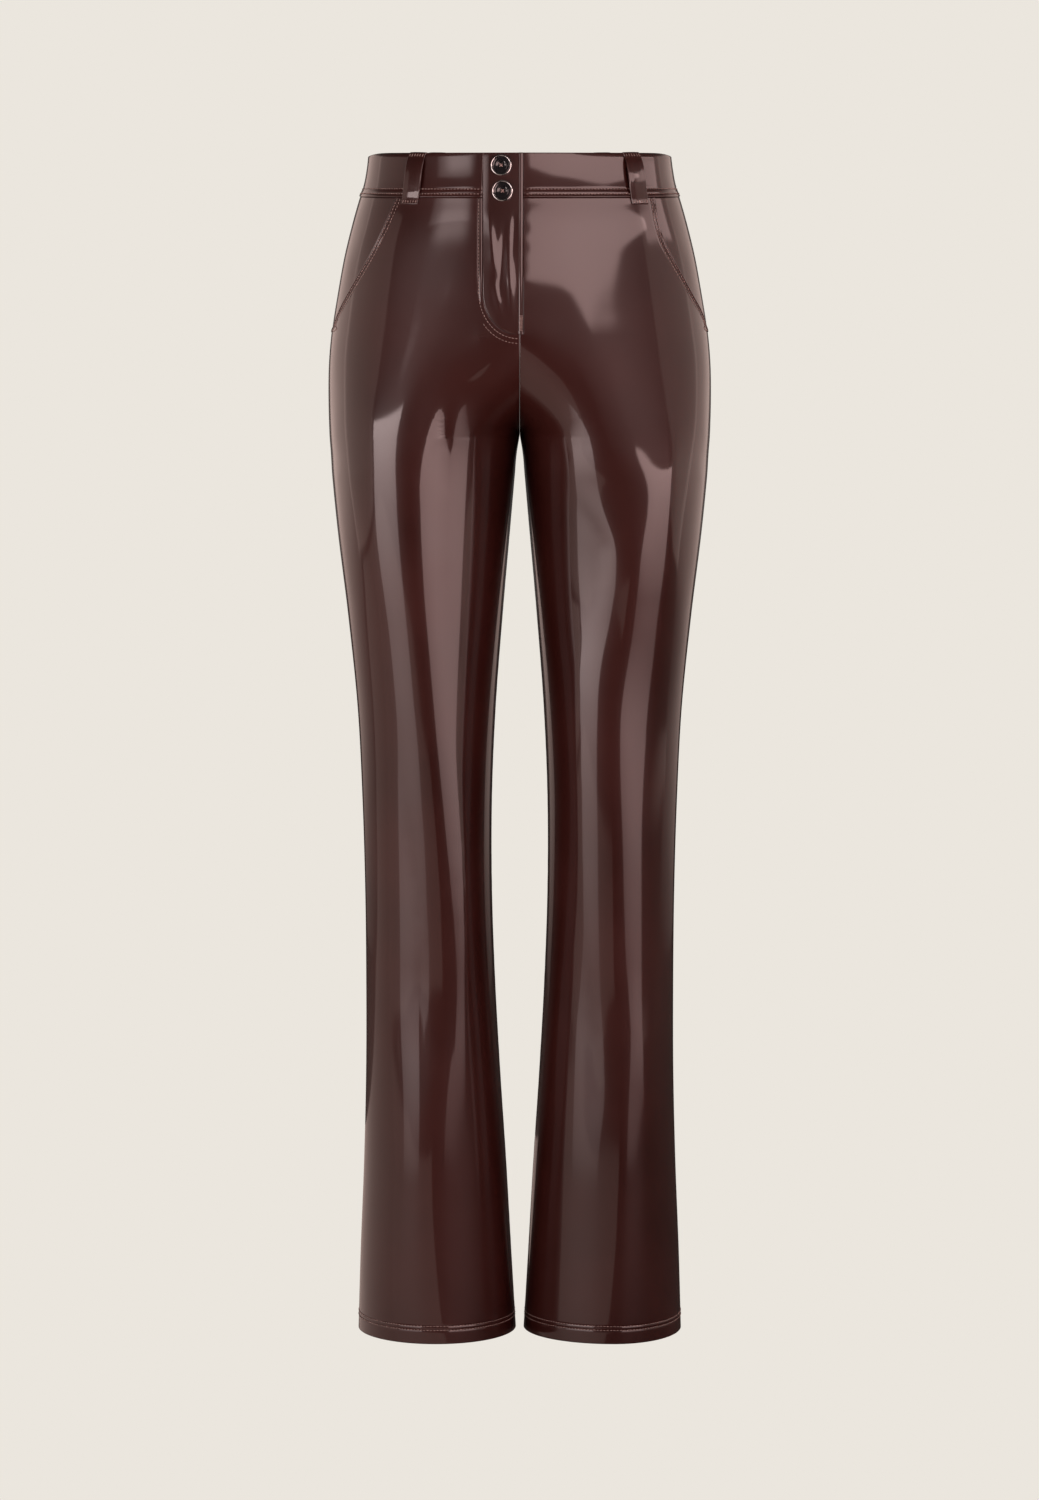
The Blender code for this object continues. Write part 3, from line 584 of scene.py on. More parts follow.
def front_relief(side):
    """How far the front stands out from its plain form, in mm, by drop and across."""
    plain, inner, outer = plain_front(side)
    plain_across = np.diff(plain, axis=1) / ACROSS_STEP
    plain_down = np.diff(plain, axis=0) / DROP_STEP
    turns, firm_turns = wanted_turns(side)
    mixed = np.where(firm_turns > 0, turns, np.clip(plain_across, -1, 1))
    level = np.pad((mixed[:, 1:] + mixed[:, :-1]) / 2, ((0, 0), (1, 1)), mode="edge")
    tilts, firm_tilts = wanted_tilts(side, level)
    across, drops = np.meshgrid(RELIEF_ACROSS, RELIEF_DROPS)
    fly_edge = FLY_RIGHT_EDGE / MM + FLY_CALM if side == "right" else INNER_CALM
    still = (across < fly_edge) & (drops < FLY_END_DROP / MM + FLY_CALM)
    still = still | (drops < CALM_TOP_DROP) | (across < 1) | (across > outer - OUTER_CALM)
    still = still | (across < inner + INNER_CALM) & (drops > CROTCH_DROP / MM)
    pull_across = STIFF_ACROSS + (1 - STIFF_ACROSS) * firm_turns
    pull_down = STIFF_DOWN + (1 - STIFF_DOWN) * firm_tilts
    heights = best_heights(
        firm_turns**2 * (turns - plain_across) / pull_across,
        pull_across,
        firm_tilts**2 * (tilts - plain_down) / pull_down,
        pull_down,
        np.where(still, 1.0, LOOSE_HOLD),
    )
    heights += sum(crease_height(crease, across, drops) for crease in CREASES if crease.side == side)
    edge = soft_step(across, inner, inner + INNER_CALM)
    edge = np.maximum(edge, drops < RISE_BEND_DROP / MM)
    return heights * edge * (1 - soft_step(across, outer - OUTER_CALM, outer))


def spline_shares(place):
    """The table line before each place, and the shares of the four lines round it."""
    low = np.floor(place).astype(int)
    past = place - low
    rest = 1 - past
    shares = (rest**3, 4 - 6 * past**2 + 3 * past**3, 4 - 6 * rest**2 + 3 * rest**3, past**3)
    return low, [share / 6 for share in shares]


def look_up(table, across, drops):
    """The smooth surface along a table's rows and columns, at these places."""
    low_row, row_shares = spline_shares(drops / MM / DROP_STEP)
    low_column, column_shares = spline_shares(across / MM / ACROSS_STEP)
    total = 0.0
    for down, row_share in enumerate(row_shares):
        row = np.clip(low_row + down - 1, 0, table.shape[0] - 1)
        for right, column_share in enumerate(column_shares):
            column = np.clip(low_column + right - 1, 0, table.shape[1] - 1)
            total = total + table[row, column] * row_share * column_share
    return total * MM


RELIEF = {side: front_relief(side) for side in SIDES}


# ------------------------------------------------------------- the borders


def inner_angles(side, drops, face):
    """A front's or back's edge at the middle seam or the inseam."""
    rings = Rings(side, drops)
    inseam_edge = rings.angle_at_inseam(HALF_GAP, face)
    middle_edge = rings.angle_at_x(np.full_like(drops, HALF_GAP), face)
    further = np.maximum if face == "front" else np.minimum
    return np.where(drops >= CROTCH_DROP, inseam_edge, further(middle_edge, inseam_edge))


def side_angles(side, drops, gap):
    """The side seam, or a gap before or after it."""
    rings = Rings(side, drops)
    return rings.angle_at_side(rings.side + SIDE_SEAM_BEHIND + gap)


def fly_half_widths(drops, grow=0.0):
    """How far the fly panel reaches to the right."""
    share = (drops - FLY_BEND_DROP) / (FLY_CURVE_DROP + grow - FLY_BEND_DROP)
    rest = np.clip(1 - np.clip(share, 0, 1) ** FLY_CURVE_POWER, 0, 1)
    return (FLY_RIGHT_EDGE + grow) * rest ** (1 / FLY_CURVE_POWER)


def front_inner_angles(side, drops):
    """The front's edge: along the fly panel, then the middle seam and the inseam."""
    width = np.full_like(drops, FLY_LEFT_EDGE + 2 * HALF_GAP)
    if side == "right":
        width = fly_half_widths(drops, 2 * HALF_GAP)
    along_fly = Rings(side, drops).angle_at_x(width, "front")
    below = drops > FLY_END_DROP + 3 * HALF_GAP
    return np.where(below, inner_angles(side, drops, "front"), along_fly)


def pocket_angles(side, drops):
    """The pocket line, from the waistband round to the side seam."""
    places = column(POCKET_LINE, "drop")
    rings = Rings(side, drops)
    share = np.minimum(read_table(places, column(POCKET_LINE, side), drops / MM), 0.9995)
    angles = rings.angle_at_x(share * rings.outer, "front")
    last = places[-1] * MM
    toward = np.clip((drops - last) / (POCKET_END_DROP - last), 0, 1)
    return angles + (side_angles(side, drops, 0.0) - angles) * toward


def pocket_end(side):
    """The lowest drop at which the pocket facing shows."""
    drops = np.arange(120 * MM, POCKET_END_DROP, 0.25 * MM)
    rings = Rings(side, drops)
    lines = pocket_angles(side, drops), side_angles(side, drops, 0.0)
    line, seam = [np.stack(rings.points(angles[:, None]))[:, :, 0] for angles in lines]
    return float(drops[np.hypot(*(line - seam)) > POCKET_TIP_WIDTH][-1])


def front_outer_angles(side, drops):
    """The front's edge at the pocket line, and at the side seam below it."""
    seam = side_angles(side, drops, -HALF_GAP)
    return np.where(drops > pocket_end(side), seam, pocket_angles(side, drops))


# --------------------------------------------------------------- the grids


def even_rows(start, end, step=ROW_STEP):
    """Drops from one place to another, about a step apart."""
    count = max(int(round((end - start) / step)), 1)
    return np.linspace(start, end, count + 1)


def edge_rows(start, end, step=ROW_STEP):
    """Drops between two edges, closer together at both."""
    close = np.array(EDGE_COLUMNS) * MM
    middle = even_rows(start + close[-1], end - close[-1], step)
    return np.concatenate([start + close, middle[1:-1], (end - close)[::-1]])


def columns_between(side, drops, starts, ends, count):
    """Angles from edge to edge, closer together near both, and how far each lies from them."""
    rings = Rings(side, drops)
    fine = np.linspace(0, 1, 241)
    fine = fine - np.sin(2 * np.pi * fine) / (2 * np.pi) * 0.9
    spread = starts[:, None] + (ends - starts)[:, None] * fine
    x, y = rings.points(spread)
    steps = np.hypot(np.diff(x, axis=1), np.diff(y, axis=1))
    lengths = np.concatenate([np.zeros((len(drops), 1)), np.cumsum(steps, axis=1)], axis=1)
    close = np.array(EDGE_COLUMNS) * MM
    angles, from_start = [], []
    for row, total in enumerate(lengths[:, -1]):
        near = close * min(1.0, total / (3 * close[-1]))
        middle = np.linspace(near[-1], total - near[-1], count + 1)
        places = np.concatenate([near, middle[1:-1], (total - near)[::-1]])
        angles.append(np.interp(places, lengths[row], spread[row]))
        from_start.append(places)
    from_start = np.array(from_start)
    return np.array(angles), from_start, lengths[:, -1:] - from_start


def rounded(distance):
    """How far a surface has sunk this near to its rounded edge."""
    share = np.clip(1 - distance / EDGE_ROUND, 0, 1)
    return -EDGE_ROUND * (1 - np.sqrt(1 - share**2))


def seam_pucker(distance, along, depth, pitch):
    """The small waves that stitching pulls into the cloth beside a seam."""
    near = np.exp(-((distance / PUCKER_REACH) ** 2))
    beat = np.sin(along / pitch * 2 * np.pi) * (0.6 + 0.4 * np.sin(along / pitch * 1.7 + 1.0))
    return depth * near * beat


def groove(distance, centre, width, depth):
    """A soft line pressed into the cloth at a distance from an edge."""
    return -depth * np.exp(-(((distance - centre) / width) ** 2))


# -------------------------------------------------------------- the meshes


def joined_rows(*parts):
    """Several runs of drops as one, in order and without doubles."""
    return np.unique(np.round(np.concatenate(parts), 7))


def leg_rows():
    """Drops from just above the crotch to the hem, closer together at both."""
    hem_top = HEM_DROP - HEM_HEIGHT - 3 * MM
    crotch = even_rows(226 * MM, 262 * MM, 1.2 * MM)
    return crotch, edge_rows(264 * MM, hem_top - 1 * MM), edge_rows(hem_top, HEM_DROP, 1.0 * MM)


def closed_mesh(name, points, faces, slots):
    """A smooth closed mesh, its faces turned outwards, with a material slot for each."""
    mesh = bpy.data.meshes.new(name)
    mesh.from_pydata(points.tolist(), [], faces)
    mesh.polygons.foreach_set("material_index", slots)
    build = bmesh.new()
    build.from_mesh(mesh)
    bmesh.ops.recalc_face_normals(build, faces=build.faces)
    build.to_mesh(mesh)
    build.free()
    mesh.shade_smooth()
    return mesh


def wall_mesh(name, outside, inside):
    """A closed wall through two matching grids of points, its outer and inner faces."""
    rows, columns = outside.shape[:2]
    count = rows * columns
    points = np.concatenate([outside.reshape(-1, 3), inside.reshape(-1, 3)])
    index = np.arange(count).reshape(rows, columns)
    corners = [index[:-1, :-1], index[1:, :-1], index[1:, 1:], index[:-1, 1:]]
    faces = np.stack([corner.ravel() for corner in corners], axis=1)
    ring = np.concatenate([index[0, :], index[1:, -1], index[-1, -2::-1], index[-2:0:-1, 0]])
    following = np.roll(ring, -1)
    border = np.stack([ring, following, following + count, ring + count], axis=1)
    slots = np.repeat([0, 1, 0], [len(faces), len(faces), len(border)])
    faces = np.concatenate([faces, faces[:, ::-1] + count, border[:, ::-1]])
    mesh = closed_mesh(name, points, faces.tolist(), slots.astype(np.int32))
    mesh.set_sharp_from_angle(angle=CLOTH_EDGE)
    return mesh


def add_piece(name, mesh, materials, replaced):
    """A piece of the object: it takes the place of its plain solid."""
    piece = bpy.data.objects.new(name, mesh)
    bpy.context.scene.collection.objects.link(piece)
    for material in materials:
        mesh.materials.append(material)
    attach(piece, "root")
    if replaced:
        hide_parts(replaced)
    return piece


def shell(points, normals, lift, wall):
    """Outer and inner points of a sheet: the outer is lifted, the inner lies a wall below."""
    outside = points + normals * lift[..., None]
    inside = points + normals * (lift - wall)[..., None]
    return outside, inside


# --------------------------------------------------------------- materials


def feed(tree, socket, value):
    """Sets an input, or joins it to an output or to a node's first output."""
    if isinstance(value, bpy.types.Node):
        value = value.outputs[0]
    if isinstance(value, bpy.types.NodeSocket):
        tree.links.new(value, socket)
    else:
        socket.default_value = value


def node(tree, kind, inputs=(), **settings):
    """A node with its settings, and with these inputs fed."""
    made = tree.nodes.new(kind)
    for name, value in settings.items():
        setattr(made, name, value)
    for name, value in dict(inputs).items():
        feed(tree, made.inputs[name], value)
    return made


def math_node(tree, operation, first, second):
    """A node that works out one value from two."""
    return node(tree, "ShaderNodeMath", {0: first, 1: second}, operation=operation)


def new_material(name, looks):
    """A node material with some of its shader's inputs set, its node tree and its shader."""
    material = bpy.data.materials.new(name)
    material.use_nodes = True
    tree = material.node_tree
    shader = tree.nodes["Principled BSDF"]
    for label, value in looks.items():
        shader.inputs[label].default_value = value
    return material, tree, shader


def noise(tree, scale, detail=3.0, roughness=0.5, stretch=(1, 1, 1)):
    """A noise on object coordinates."""
    spot = node(tree, "ShaderNodeTexCoord").outputs["Object"]
    spot = node(tree, "ShaderNodeMapping", {"Vector": spot, "Scale": stretch})
    grain = {"Vector": spot, "Scale": scale, "Detail": detail, "Roughness": roughness}
    return node(tree, "ShaderNodeTexNoise", grain)


def tint(tree, shader, source, colours, stops=(0.3, 0.7)):
    """Lets a value vary the base colour between two."""
    made = node(tree, "ShaderNodeValToRGB", {"Fac": source})
    for element, stop, colour in zip(made.color_ramp.elements, stops, colours):
        element.position = stop
        element.color = (*colour, 1)
    feed(tree, shader.inputs["Base Color"], made)


def vary(tree, source, low, high, socket):
    """Lets a value drive a socket between two numbers."""
    span = {"Value": source, "From Min": 0.3, "From Max": 0.7, "To Min": low, "To Max": high}
    feed(tree, socket, node(tree, "ShaderNodeMapRange", span))


def bump(tree, shader, *layers):
    """Bumps, each from a source, a strength and a depth, one on another."""
    last = None
    for source, strength, depth in layers:
        relief = {"Height": source, "Strength": strength, "Distance": depth}
        if last:
            relief["Normal"] = last
        last = node(tree, "ShaderNodeBump", relief)
    feed(tree, shader.inputs["Normal"], last)
    return last


def coated_cloth():
    """The outer face: dark oxblood cloth under a clear glossy coating."""
    looks = {"Specular IOR Level": 0.3, "Coat Weight": 1.0, "Coat Roughness": 0.06, "Coat IOR": 1.5}
    material, tree, shader = new_material("coated_cloth", looks)
    clouds = noise(tree, 9.0)
    tint(tree, shader, clouds, ((0.030, 0.0062, 0.0046), (0.042, 0.0092, 0.0070)), (0.35, 0.65))
    vary(tree, clouds, 0.30, 0.40, shader.inputs["Roughness"])
    waves = noise(tree, 26.0, detail=1.0, stretch=(1, 1, 0.35))
    grain = noise(tree, 900.0, detail=2.0)
    normal = bump(tree, shader, (waves, 0.35, 0.6 * MM), (grain, 0.05, 0.08 * MM))
    feed(tree, shader.inputs["Coat Normal"], normal)
    return material


def knit_backing():
    """The inner face: a dull brushed knit."""
    material, tree, shader = new_material("knit_backing", {"Roughness": 0.85, "Sheen Weight": 0.25})
    fuzz = noise(tree, 700.0, detail=4.0, roughness=0.7)
    tint(tree, shader, fuzz, ((0.030, 0.012, 0.010), (0.055, 0.024, 0.020)))
    bump(tree, shader, (fuzz, 0.5, 0.3 * MM))
    return material


def sewing_thread():
    """Thread a little lighter than the cloth."""
    material, tree, shader = new_material("sewing_thread", {"Roughness": 0.45})
    twist = noise(tree, 2200.0, detail=2.0, stretch=(1, 1, 0.4))
    tint(tree, shader, twist, ((0.20, 0.13, 0.115), (0.42, 0.31, 0.28)))
    bump(tree, shader, (twist, 0.4, 0.1 * MM))
    return material


def button_metal():
    """Polished silver-grey metal."""
    material, tree, shader = new_material("button_metal", {"Metallic": 1.0})
    marks = noise(tree, 1500.0)
    tint(tree, shader, marks, ((0.62, 0.61, 0.60), (0.80, 0.80, 0.79)))
    vary(tree, marks, 0.10, 0.2, shader.inputs["Roughness"])
    bump(tree, shader, (marks, 0.08, 0.05 * MM))
    return material


def button_enamel():
    """Glossy black enamel."""
    material, tree, shader = new_material("button_enamel", {"Coat Weight": 0.6, "Coat Roughness": 0.04})
    specks = noise(tree, 1200.0)
    tint(tree, shader, specks, ((0.006, 0.006, 0.007), (0.014, 0.013, 0.014)))
    vary(tree, specks, 0.06, 0.14, shader.inputs["Roughness"])
    bump(tree, shader, (specks, 0.05, 0.05 * MM))
    return material


# ------------------------------------------------------------ cloth pieces

# Columns across each kind of piece, and the size and pitch of the small waves beside seams and along the
# waistband.
PANEL_COLUMNS = {"front": 52, "back": 56}
HIP_PANEL_COLUMNS = 24
BAND_COLUMNS = 110
PUCKER_REACH = 5.5 * MM
PUCKER_PITCHES = (17 * MM, 21 * MM)
PANEL_PUCKER, BAND_PUCKER = 0.05 * MM, 0.10 * MM
BAND_PUCKER_PITCH = 19 * MM
BAND_SWELL, BAND_SWELL_PITCH = 0.12 * MM, 61 * MM


def sewn_piece(name, outside, inside, materials):
    """A piece of cloth, which takes the place of its plain solid."""
    piece = add_piece("sewn_" + name, wall_mesh(name, outside, inside), materials, name)


def hem_walls(drops):
    """The cloth is double where the hem is turned up inside."""
    return np.where(drops > HEM_DROP - HEM_HEIGHT, HEM_WALL, WALL)


def hem_lift(drops):
    """The pressed line of the hem's stitching and its soft lower edge."""
    from_hem = HEM_DROP - drops
    return sum(groove(from_hem, row, 0.7 * MM, 0.3 * MM) for row in HEM_ROWS) + rounded(from_hem)


def rolled_edge(distance, rows):
    """A raised edge with a pressed line along each of its rows of stitches."""
    roll = np.sqrt(np.clip(1 - (distance / rows[0] - 0.5) ** 2 * 4, 0, 1))
    return 0.55 * MM * roll + sum(groove(distance, row, 0.6 * MM, 0.45 * MM) for row in rows)


def panel(name, side, drops, starts, ends, face, materials):
    """A front or back panel."""
    angles, from_start, from_end = columns_between(side, drops, starts, ends, PANEL_COLUMNS[face])
    points, normals = cloth(side, drops, angles)
    rows = drops[:, None]
    lift = rounded(from_start) + rounded(from_end) + hem_lift(rows)
    lift = lift + rounded(rows - (BAND_HEIGHT + HALF_GAP))
    for distance, pitch in zip((from_start, from_end), PUCKER_PITCHES):
        lift = lift + seam_pucker(distance, rows, PANEL_PUCKER, pitch)
    if face == "front":
        lift = lift + rolled_edge(from_end, POCKET_ROWS) * (rows < pocket_end(side))
    if name == "front_right":
        above_bend = 1 - soft_step(rows, FLY_BEND_DROP, FLY_BEND_DROP + 14 * MM)
        lift = lift + rolled_edge(from_start, (FLY_ROW,)) * above_bend
    outside, inside = shell(points, normals, lift, hem_walls(rows))
    at_seam = drops < CROTCH_DROP
    if face == "front":
        at_seam = at_seam & (drops > FLY_END_DROP + 3 * HALF_GAP)
    sign = SIGN[side]
    for places in (outside, inside):
        places[at_seam, 0 if face == "front" else -1, 0] = sign * HALF_GAP
        places[..., 0] = sign * np.maximum(sign * places[..., 0], HALF_GAP)
    sewn_piece(name, outside, inside, materials)


def front_panel(side, materials):
    """One front."""
    end = pocket_end(side)
    fly_end = FLY_END_DROP + 3 * HALF_GAP
    drops = joined_rows(
        edge_rows(BAND_HEIGHT + HALF_GAP, FLY_BEND_DROP),
        FLY_BEND_DROP + (fly_end - FLY_BEND_DROP) * np.sin(np.linspace(0, np.pi / 2, 40)),
        [fly_end + HALF_GAP, end, end + HALF_GAP],
        even_rows(fly_end + 2 * HALF_GAP, 225 * MM),
        *leg_rows(),
    )
    starts = front_inner_angles(side, drops)
    ends = front_outer_angles(side, drops)
    panel("front_" + side, side, drops, starts, ends, "front", materials)


def back_panel(side, materials):
    """One back."""
    drops = joined_rows(edge_rows(BAND_HEIGHT + HALF_GAP, 225 * MM), *leg_rows())
    starts = side_angles(side, drops, HALF_GAP)
    ends = inner_angles(side, drops, "back")
    panel("back_" + side, side, drops, starts, ends, "back", materials)


def hip_panel(side, materials):
    """The pocket facing, which lies under the front's edge."""
    drops = edge_rows(BAND_HEIGHT + HALF_GAP, pocket_end(side) - HALF_GAP, 2.5 * MM)
    rings = Rings(side, drops)
    line = pocket_angles(side, drops)
    seam = side_angles(side, drops, -HALF_GAP)
    line_x = rings.points(line[:, None])[0][:, 0]
    hidden = rings.angle_at_x(line_x - POCKET_UNDERLAP, "front")
    angles, _, from_end = columns_between(side, drops, hidden, seam, HIP_PANEL_COLUMNS)
    points, normals = cloth(side, drops, angles)
    sink = POCKET_SINK * np.clip((seam[:, None] - angles) / (seam - line)[:, None], 0, 1)
    rows = drops[:, None]
    lift = rounded(from_end) + rounded(rows - drops[0]) - sink
    outside, inside = shell(points, normals, lift, np.full_like(rows, WALL))
    sewn_piece("hip_panel_" + side, outside, inside, materials)


def band_grid(side, angles, shares):
    """Points of the waistband's outer face and outward directions, by share and angle."""
    tops = SIDE_DIP * np.exp(-((angles / SIDE_DIP_ANGLE) ** 2))
    drops = tops[None, :] + (BAND_HEIGHT - HALF_GAP - tops)[None, :] * shares[:, None]
    lines = []
    for angle, line in zip(angles, drops.T):
        x, y = Rings(side, line).points(np.full((len(shares), 1), angle))
        lines.append(grid_points(x[:, 0], y[:, 0], line))
    points = np.stack(lines, axis=1)
    points[..., 0] *= SIGN[side]
    normals = grid_normals(points, side)
    flare = BAND_FLARE * (shares**2 / 2 - 0.35 * shares)[:, None]
    return points + normals * flare[..., None], normals, drops, tops


def band_start(side):
    """The angle at which the waistband meets the fly panel, and the panel's half width."""
    width = (FLY_RIGHT_EDGE if side == "right" else FLY_LEFT_EDGE) + 2 * HALF_GAP
    middle = np.array([BAND_HEIGHT / 2])
    return Rings(side, middle).angle_at_x(np.array([width]), "front"), width


def waistband(side, materials):
    """One half of the waistband."""
    shares = edge_rows(0.0, BAND_HEIGHT - HALF_GAP, 1.5 * MM) / (BAND_HEIGHT - HALF_GAP)
    start, width = band_start(side)
    middle = np.array([BAND_HEIGHT / 2])
    ends = np.array([90.0])
    angles, from_start, from_end = columns_between(side, middle, start, ends, BAND_COLUMNS)
    points, normals, drops, tops = band_grid(side, angles[0], shares)
    from_bottom = BAND_HEIGHT - HALF_GAP - drops
    lift = rounded(from_start) + rounded(from_end) + rounded(from_bottom)
    lift = lift + rounded(drops - tops[None, :]) * 1.6
    lift = lift + sum(groove(from_bottom, row, 0.6 * MM, 0.3 * MM) for row in BAND_ROWS)
    lift = lift + seam_pucker(from_bottom, from_start, BAND_PUCKER, BAND_PUCKER_PITCH)
    swell = np.sin(from_start / BAND_SWELL_PITCH * 2 * np.pi + 0.7) * np.sin(np.pi * shares)[:, None]
    lift = lift + BAND_SWELL * swell
    outside, inside = shell(points, normals, lift, np.full_like(lift, BAND_WALL))
    sign = SIGN[side]
    for places in (outside, inside):
        places[:, 0, 0] = sign * width
        places[:, -1, 0] = sign * HALF_GAP
    sewn_piece("waistband_" + side, outside, inside, materials)


def front_grid(across, drops):
    """Points and normals on the front, by distance across from the middle."""
    halves = [Rings(side, drops) for side in SIDES]
    depths = []
    for line in across.T:
        pair = [half.points(half.angle_at_x(np.abs(line), "front")[:, None])[1][:, 0] for half in halves]
        depths.append(np.where(line < 0, *pair))
    points = grid_points(across, np.stack(depths, axis=1), drops[:, None])
    return points, grid_normals(points, "left")


def fly_panel(materials):
    """The fly panel, a little crumpled, with its raised left edge."""
    curve = np.sin(np.linspace(0, np.pi / 2, 36))
    curve = FLY_BEND_DROP + (FLY_END_DROP - FLY_BEND_DROP) * curve
    drops = joined_rows(edge_rows(0.0, FLY_BEND_DROP, 1.6 * MM), curve)
    right = -fly_half_widths(drops)[:, None]
    close = np.array([0, 0.15, 0.35, 0.6, 1.0]) * MM
    across = right + (FLY_LEFT_EDGE - right) * np.linspace(0, 1, 35)
    across[:, : len(close)] = right + close
    piping = FLY_LEFT_EDGE - np.linspace(FLY_PIPING_WIDTH, 0, 12)
    across = np.concatenate([across[:, :-5], np.broadcast_to(piping, (len(drops), 12))], axis=1)
    across = np.sort(across, axis=1)
    points, normals = front_grid(across, drops)
    rows = drops[:, None]
    from_right = across - right
    half_piping = FLY_PIPING_WIDTH / 2
    from_crest = (FLY_LEFT_EDGE - across - half_piping) / half_piping
    ridge = np.sqrt(np.clip(1 - from_crest**2, 0, 1))
    lift = rounded(from_right) + FLY_PIPING_HEIGHT * ridge + rounded(rows) * 1.6
    lift = lift - 0.5 * MM * np.exp(-((from_right / (3.0 * MM)) ** 2))
    for crumple in FLY_CRUMPLES:
        lift = lift + bulge(crumple, crumple.across, across / MM, rows / MM) * MM
    outside, inside = shell(points, normals, lift, np.full_like(lift, FLY_WALL))
    sewn_piece("fly_panel", outside, inside, materials)


def loop_grid(loop, drops, columns):
    """Points under a belt loop, outward directions, and the loop's lift and standoff."""
    rings = Rings(loop.side, drops)
    x = loop.share * rings.outer[:, None] + columns[None, :]
    angles = np.stack([rings.angle_at_x(np.abs(line), loop.face) for line in x.T], axis=1)
    points = grid_points(x, rings.points(angles)[1], drops[:, None])
    normals = grid_normals(points, "left")
    if loop.face == "back":
        normals = -normals
    for grid in (points, normals):
        grid[..., 0] *= SIGN[loop.side]
    standoff = read_table(*zip(*LOOP_STANDOFF), drops / MM)[:, None] * MM
    from_edge = LOOP_WIDTH / 2 - np.abs(columns)[None, :]
    crown = 0.35 * MM * np.clip(from_edge / (3 * MM), 0, 1)
    lift = standoff + LOOP_WALL - 0.3 * MM + crown + rounded(from_edge)
    lift = lift + groove(from_edge, 2.2 * MM, 0.5 * MM, 0.18 * MM)
    return points, normals, lift, standoff


def belt_loop(loop, materials):
    """A strip over the waistband, sewn down at both ends."""
    drops = edge_rows(LOOP_TOP_DROP, LOOP_END_DROP, 1.0 * MM)
    edge = np.array([0, 0.12, 0.3, 0.6, 1.1, 1.8, 2.6]) * MM
    half = LOOP_WIDTH / 2
    inner = np.linspace(-half + 3.6 * MM, half - 3.6 * MM, 9)
    columns = np.concatenate([-half + edge, inner, (half - edge)[::-1]])
    points, normals, lift, standoff = loop_grid(loop, drops, columns)
    rows = drops[:, None]
    lift = lift + rounded(rows - drops[0]) + rounded(drops[-1] - rows)
    outside, inside = shell(points, normals, lift, lift - standoff)
    sewn_piece(loop.name, outside, inside, materials)


# ----------------------------------------------------------------- stitches

STITCH_SIZES = {
    "Stitch length": STITCH_LENGTH,
    "Thread thickness": THREAD_THICKNESS,
    "Unevenness": 0.12,
}
STITCH_SEED = 7
FLY_BAR_STITCH, LOOP_BAR_STITCH = 3.6 * MM, 2.8 * MM


def number_socket(sockets, name):
    """The socket of this name that takes a plain number."""
    return next(socket for socket in sockets if socket.name == name and socket.type == "VALUE")


def stitch_tree(thread):
    """Geometry nodes that lay a stitch on every point, along its seam."""
    tree = bpy.data.node_groups.new("lay_stitches", "GeometryNodeTree")
    add_socket = tree.interface.new_socket
    add_socket("Geometry", in_out="INPUT", socket_type="NodeSocketGeometry")
    for name, size in STITCH_SIZES.items():
        add_socket(name, in_out="INPUT", socket_type="NodeSocketFloat").default_value = size
    add_socket("Seed", in_out="INPUT", socket_type="NodeSocketInt").default_value = STITCH_SEED
    add_socket("Geometry", in_out="OUTPUT", socket_type="NodeSocketGeometry")
    given = tree.nodes.new("NodeGroupInput").outputs

    def turned(axis, name, **settings):
        heading = node(tree, "GeometryNodeInputNamedAttribute", data_type="FLOAT_VECTOR")
        heading.inputs["Name"].default_value = name
        return node(tree, "FunctionNodeAlignRotationToVector", {"Vector": heading}, axis=axis, **settings)

    shape = node(tree, "GeometryNodeMeshUVSphere", {"Segments": 8, "Rings": 6, "Radius": 0.5})
    shape = node(tree, "GeometryNodeSetShadeSmooth", {"Geometry": shape})
    upright = turned("Z", "outward", pivot_axis="X")
    feed(tree, upright.inputs["Rotation"], turned("X", "along"))
    uneven = node(tree, "FunctionNodeRandomValue", {"Seed": given["Seed"]}, data_type="FLOAT")
    for end, operation in (("Min", "SUBTRACT"), ("Max", "ADD")):
        share = math_node(tree, operation, 1.0, given["Unevenness"])
        feed(tree, number_socket(uneven.inputs, end), share)
    share = number_socket(uneven.outputs, "Value")
    length = math_node(tree, "MULTIPLY", given["Stitch length"], share)
    thick = given["Thread thickness"]
    size = node(tree, "ShaderNodeCombineXYZ", {"X": length, "Y": thick, "Z": thick})
    places = {"Points": given["Geometry"], "Instance": shape, "Rotation": upright, "Scale": size}
    laid = node(tree, "GeometryNodeInstanceOnPoints", places)
    laid = node(tree, "GeometryNodeRealizeInstances", {"Geometry": laid})
    laid = node(tree, "GeometryNodeSetMaterial", {"Geometry": laid, "Material": thread})
    node(tree, "NodeGroupOutput", {"Geometry": laid})
    return tree


Seam = namedtuple("Seam", "spots along outward")


def join_seams(seams):
    """Several seams as one."""
    return Seam(*[np.concatenate(parts) for parts in zip(*seams)])


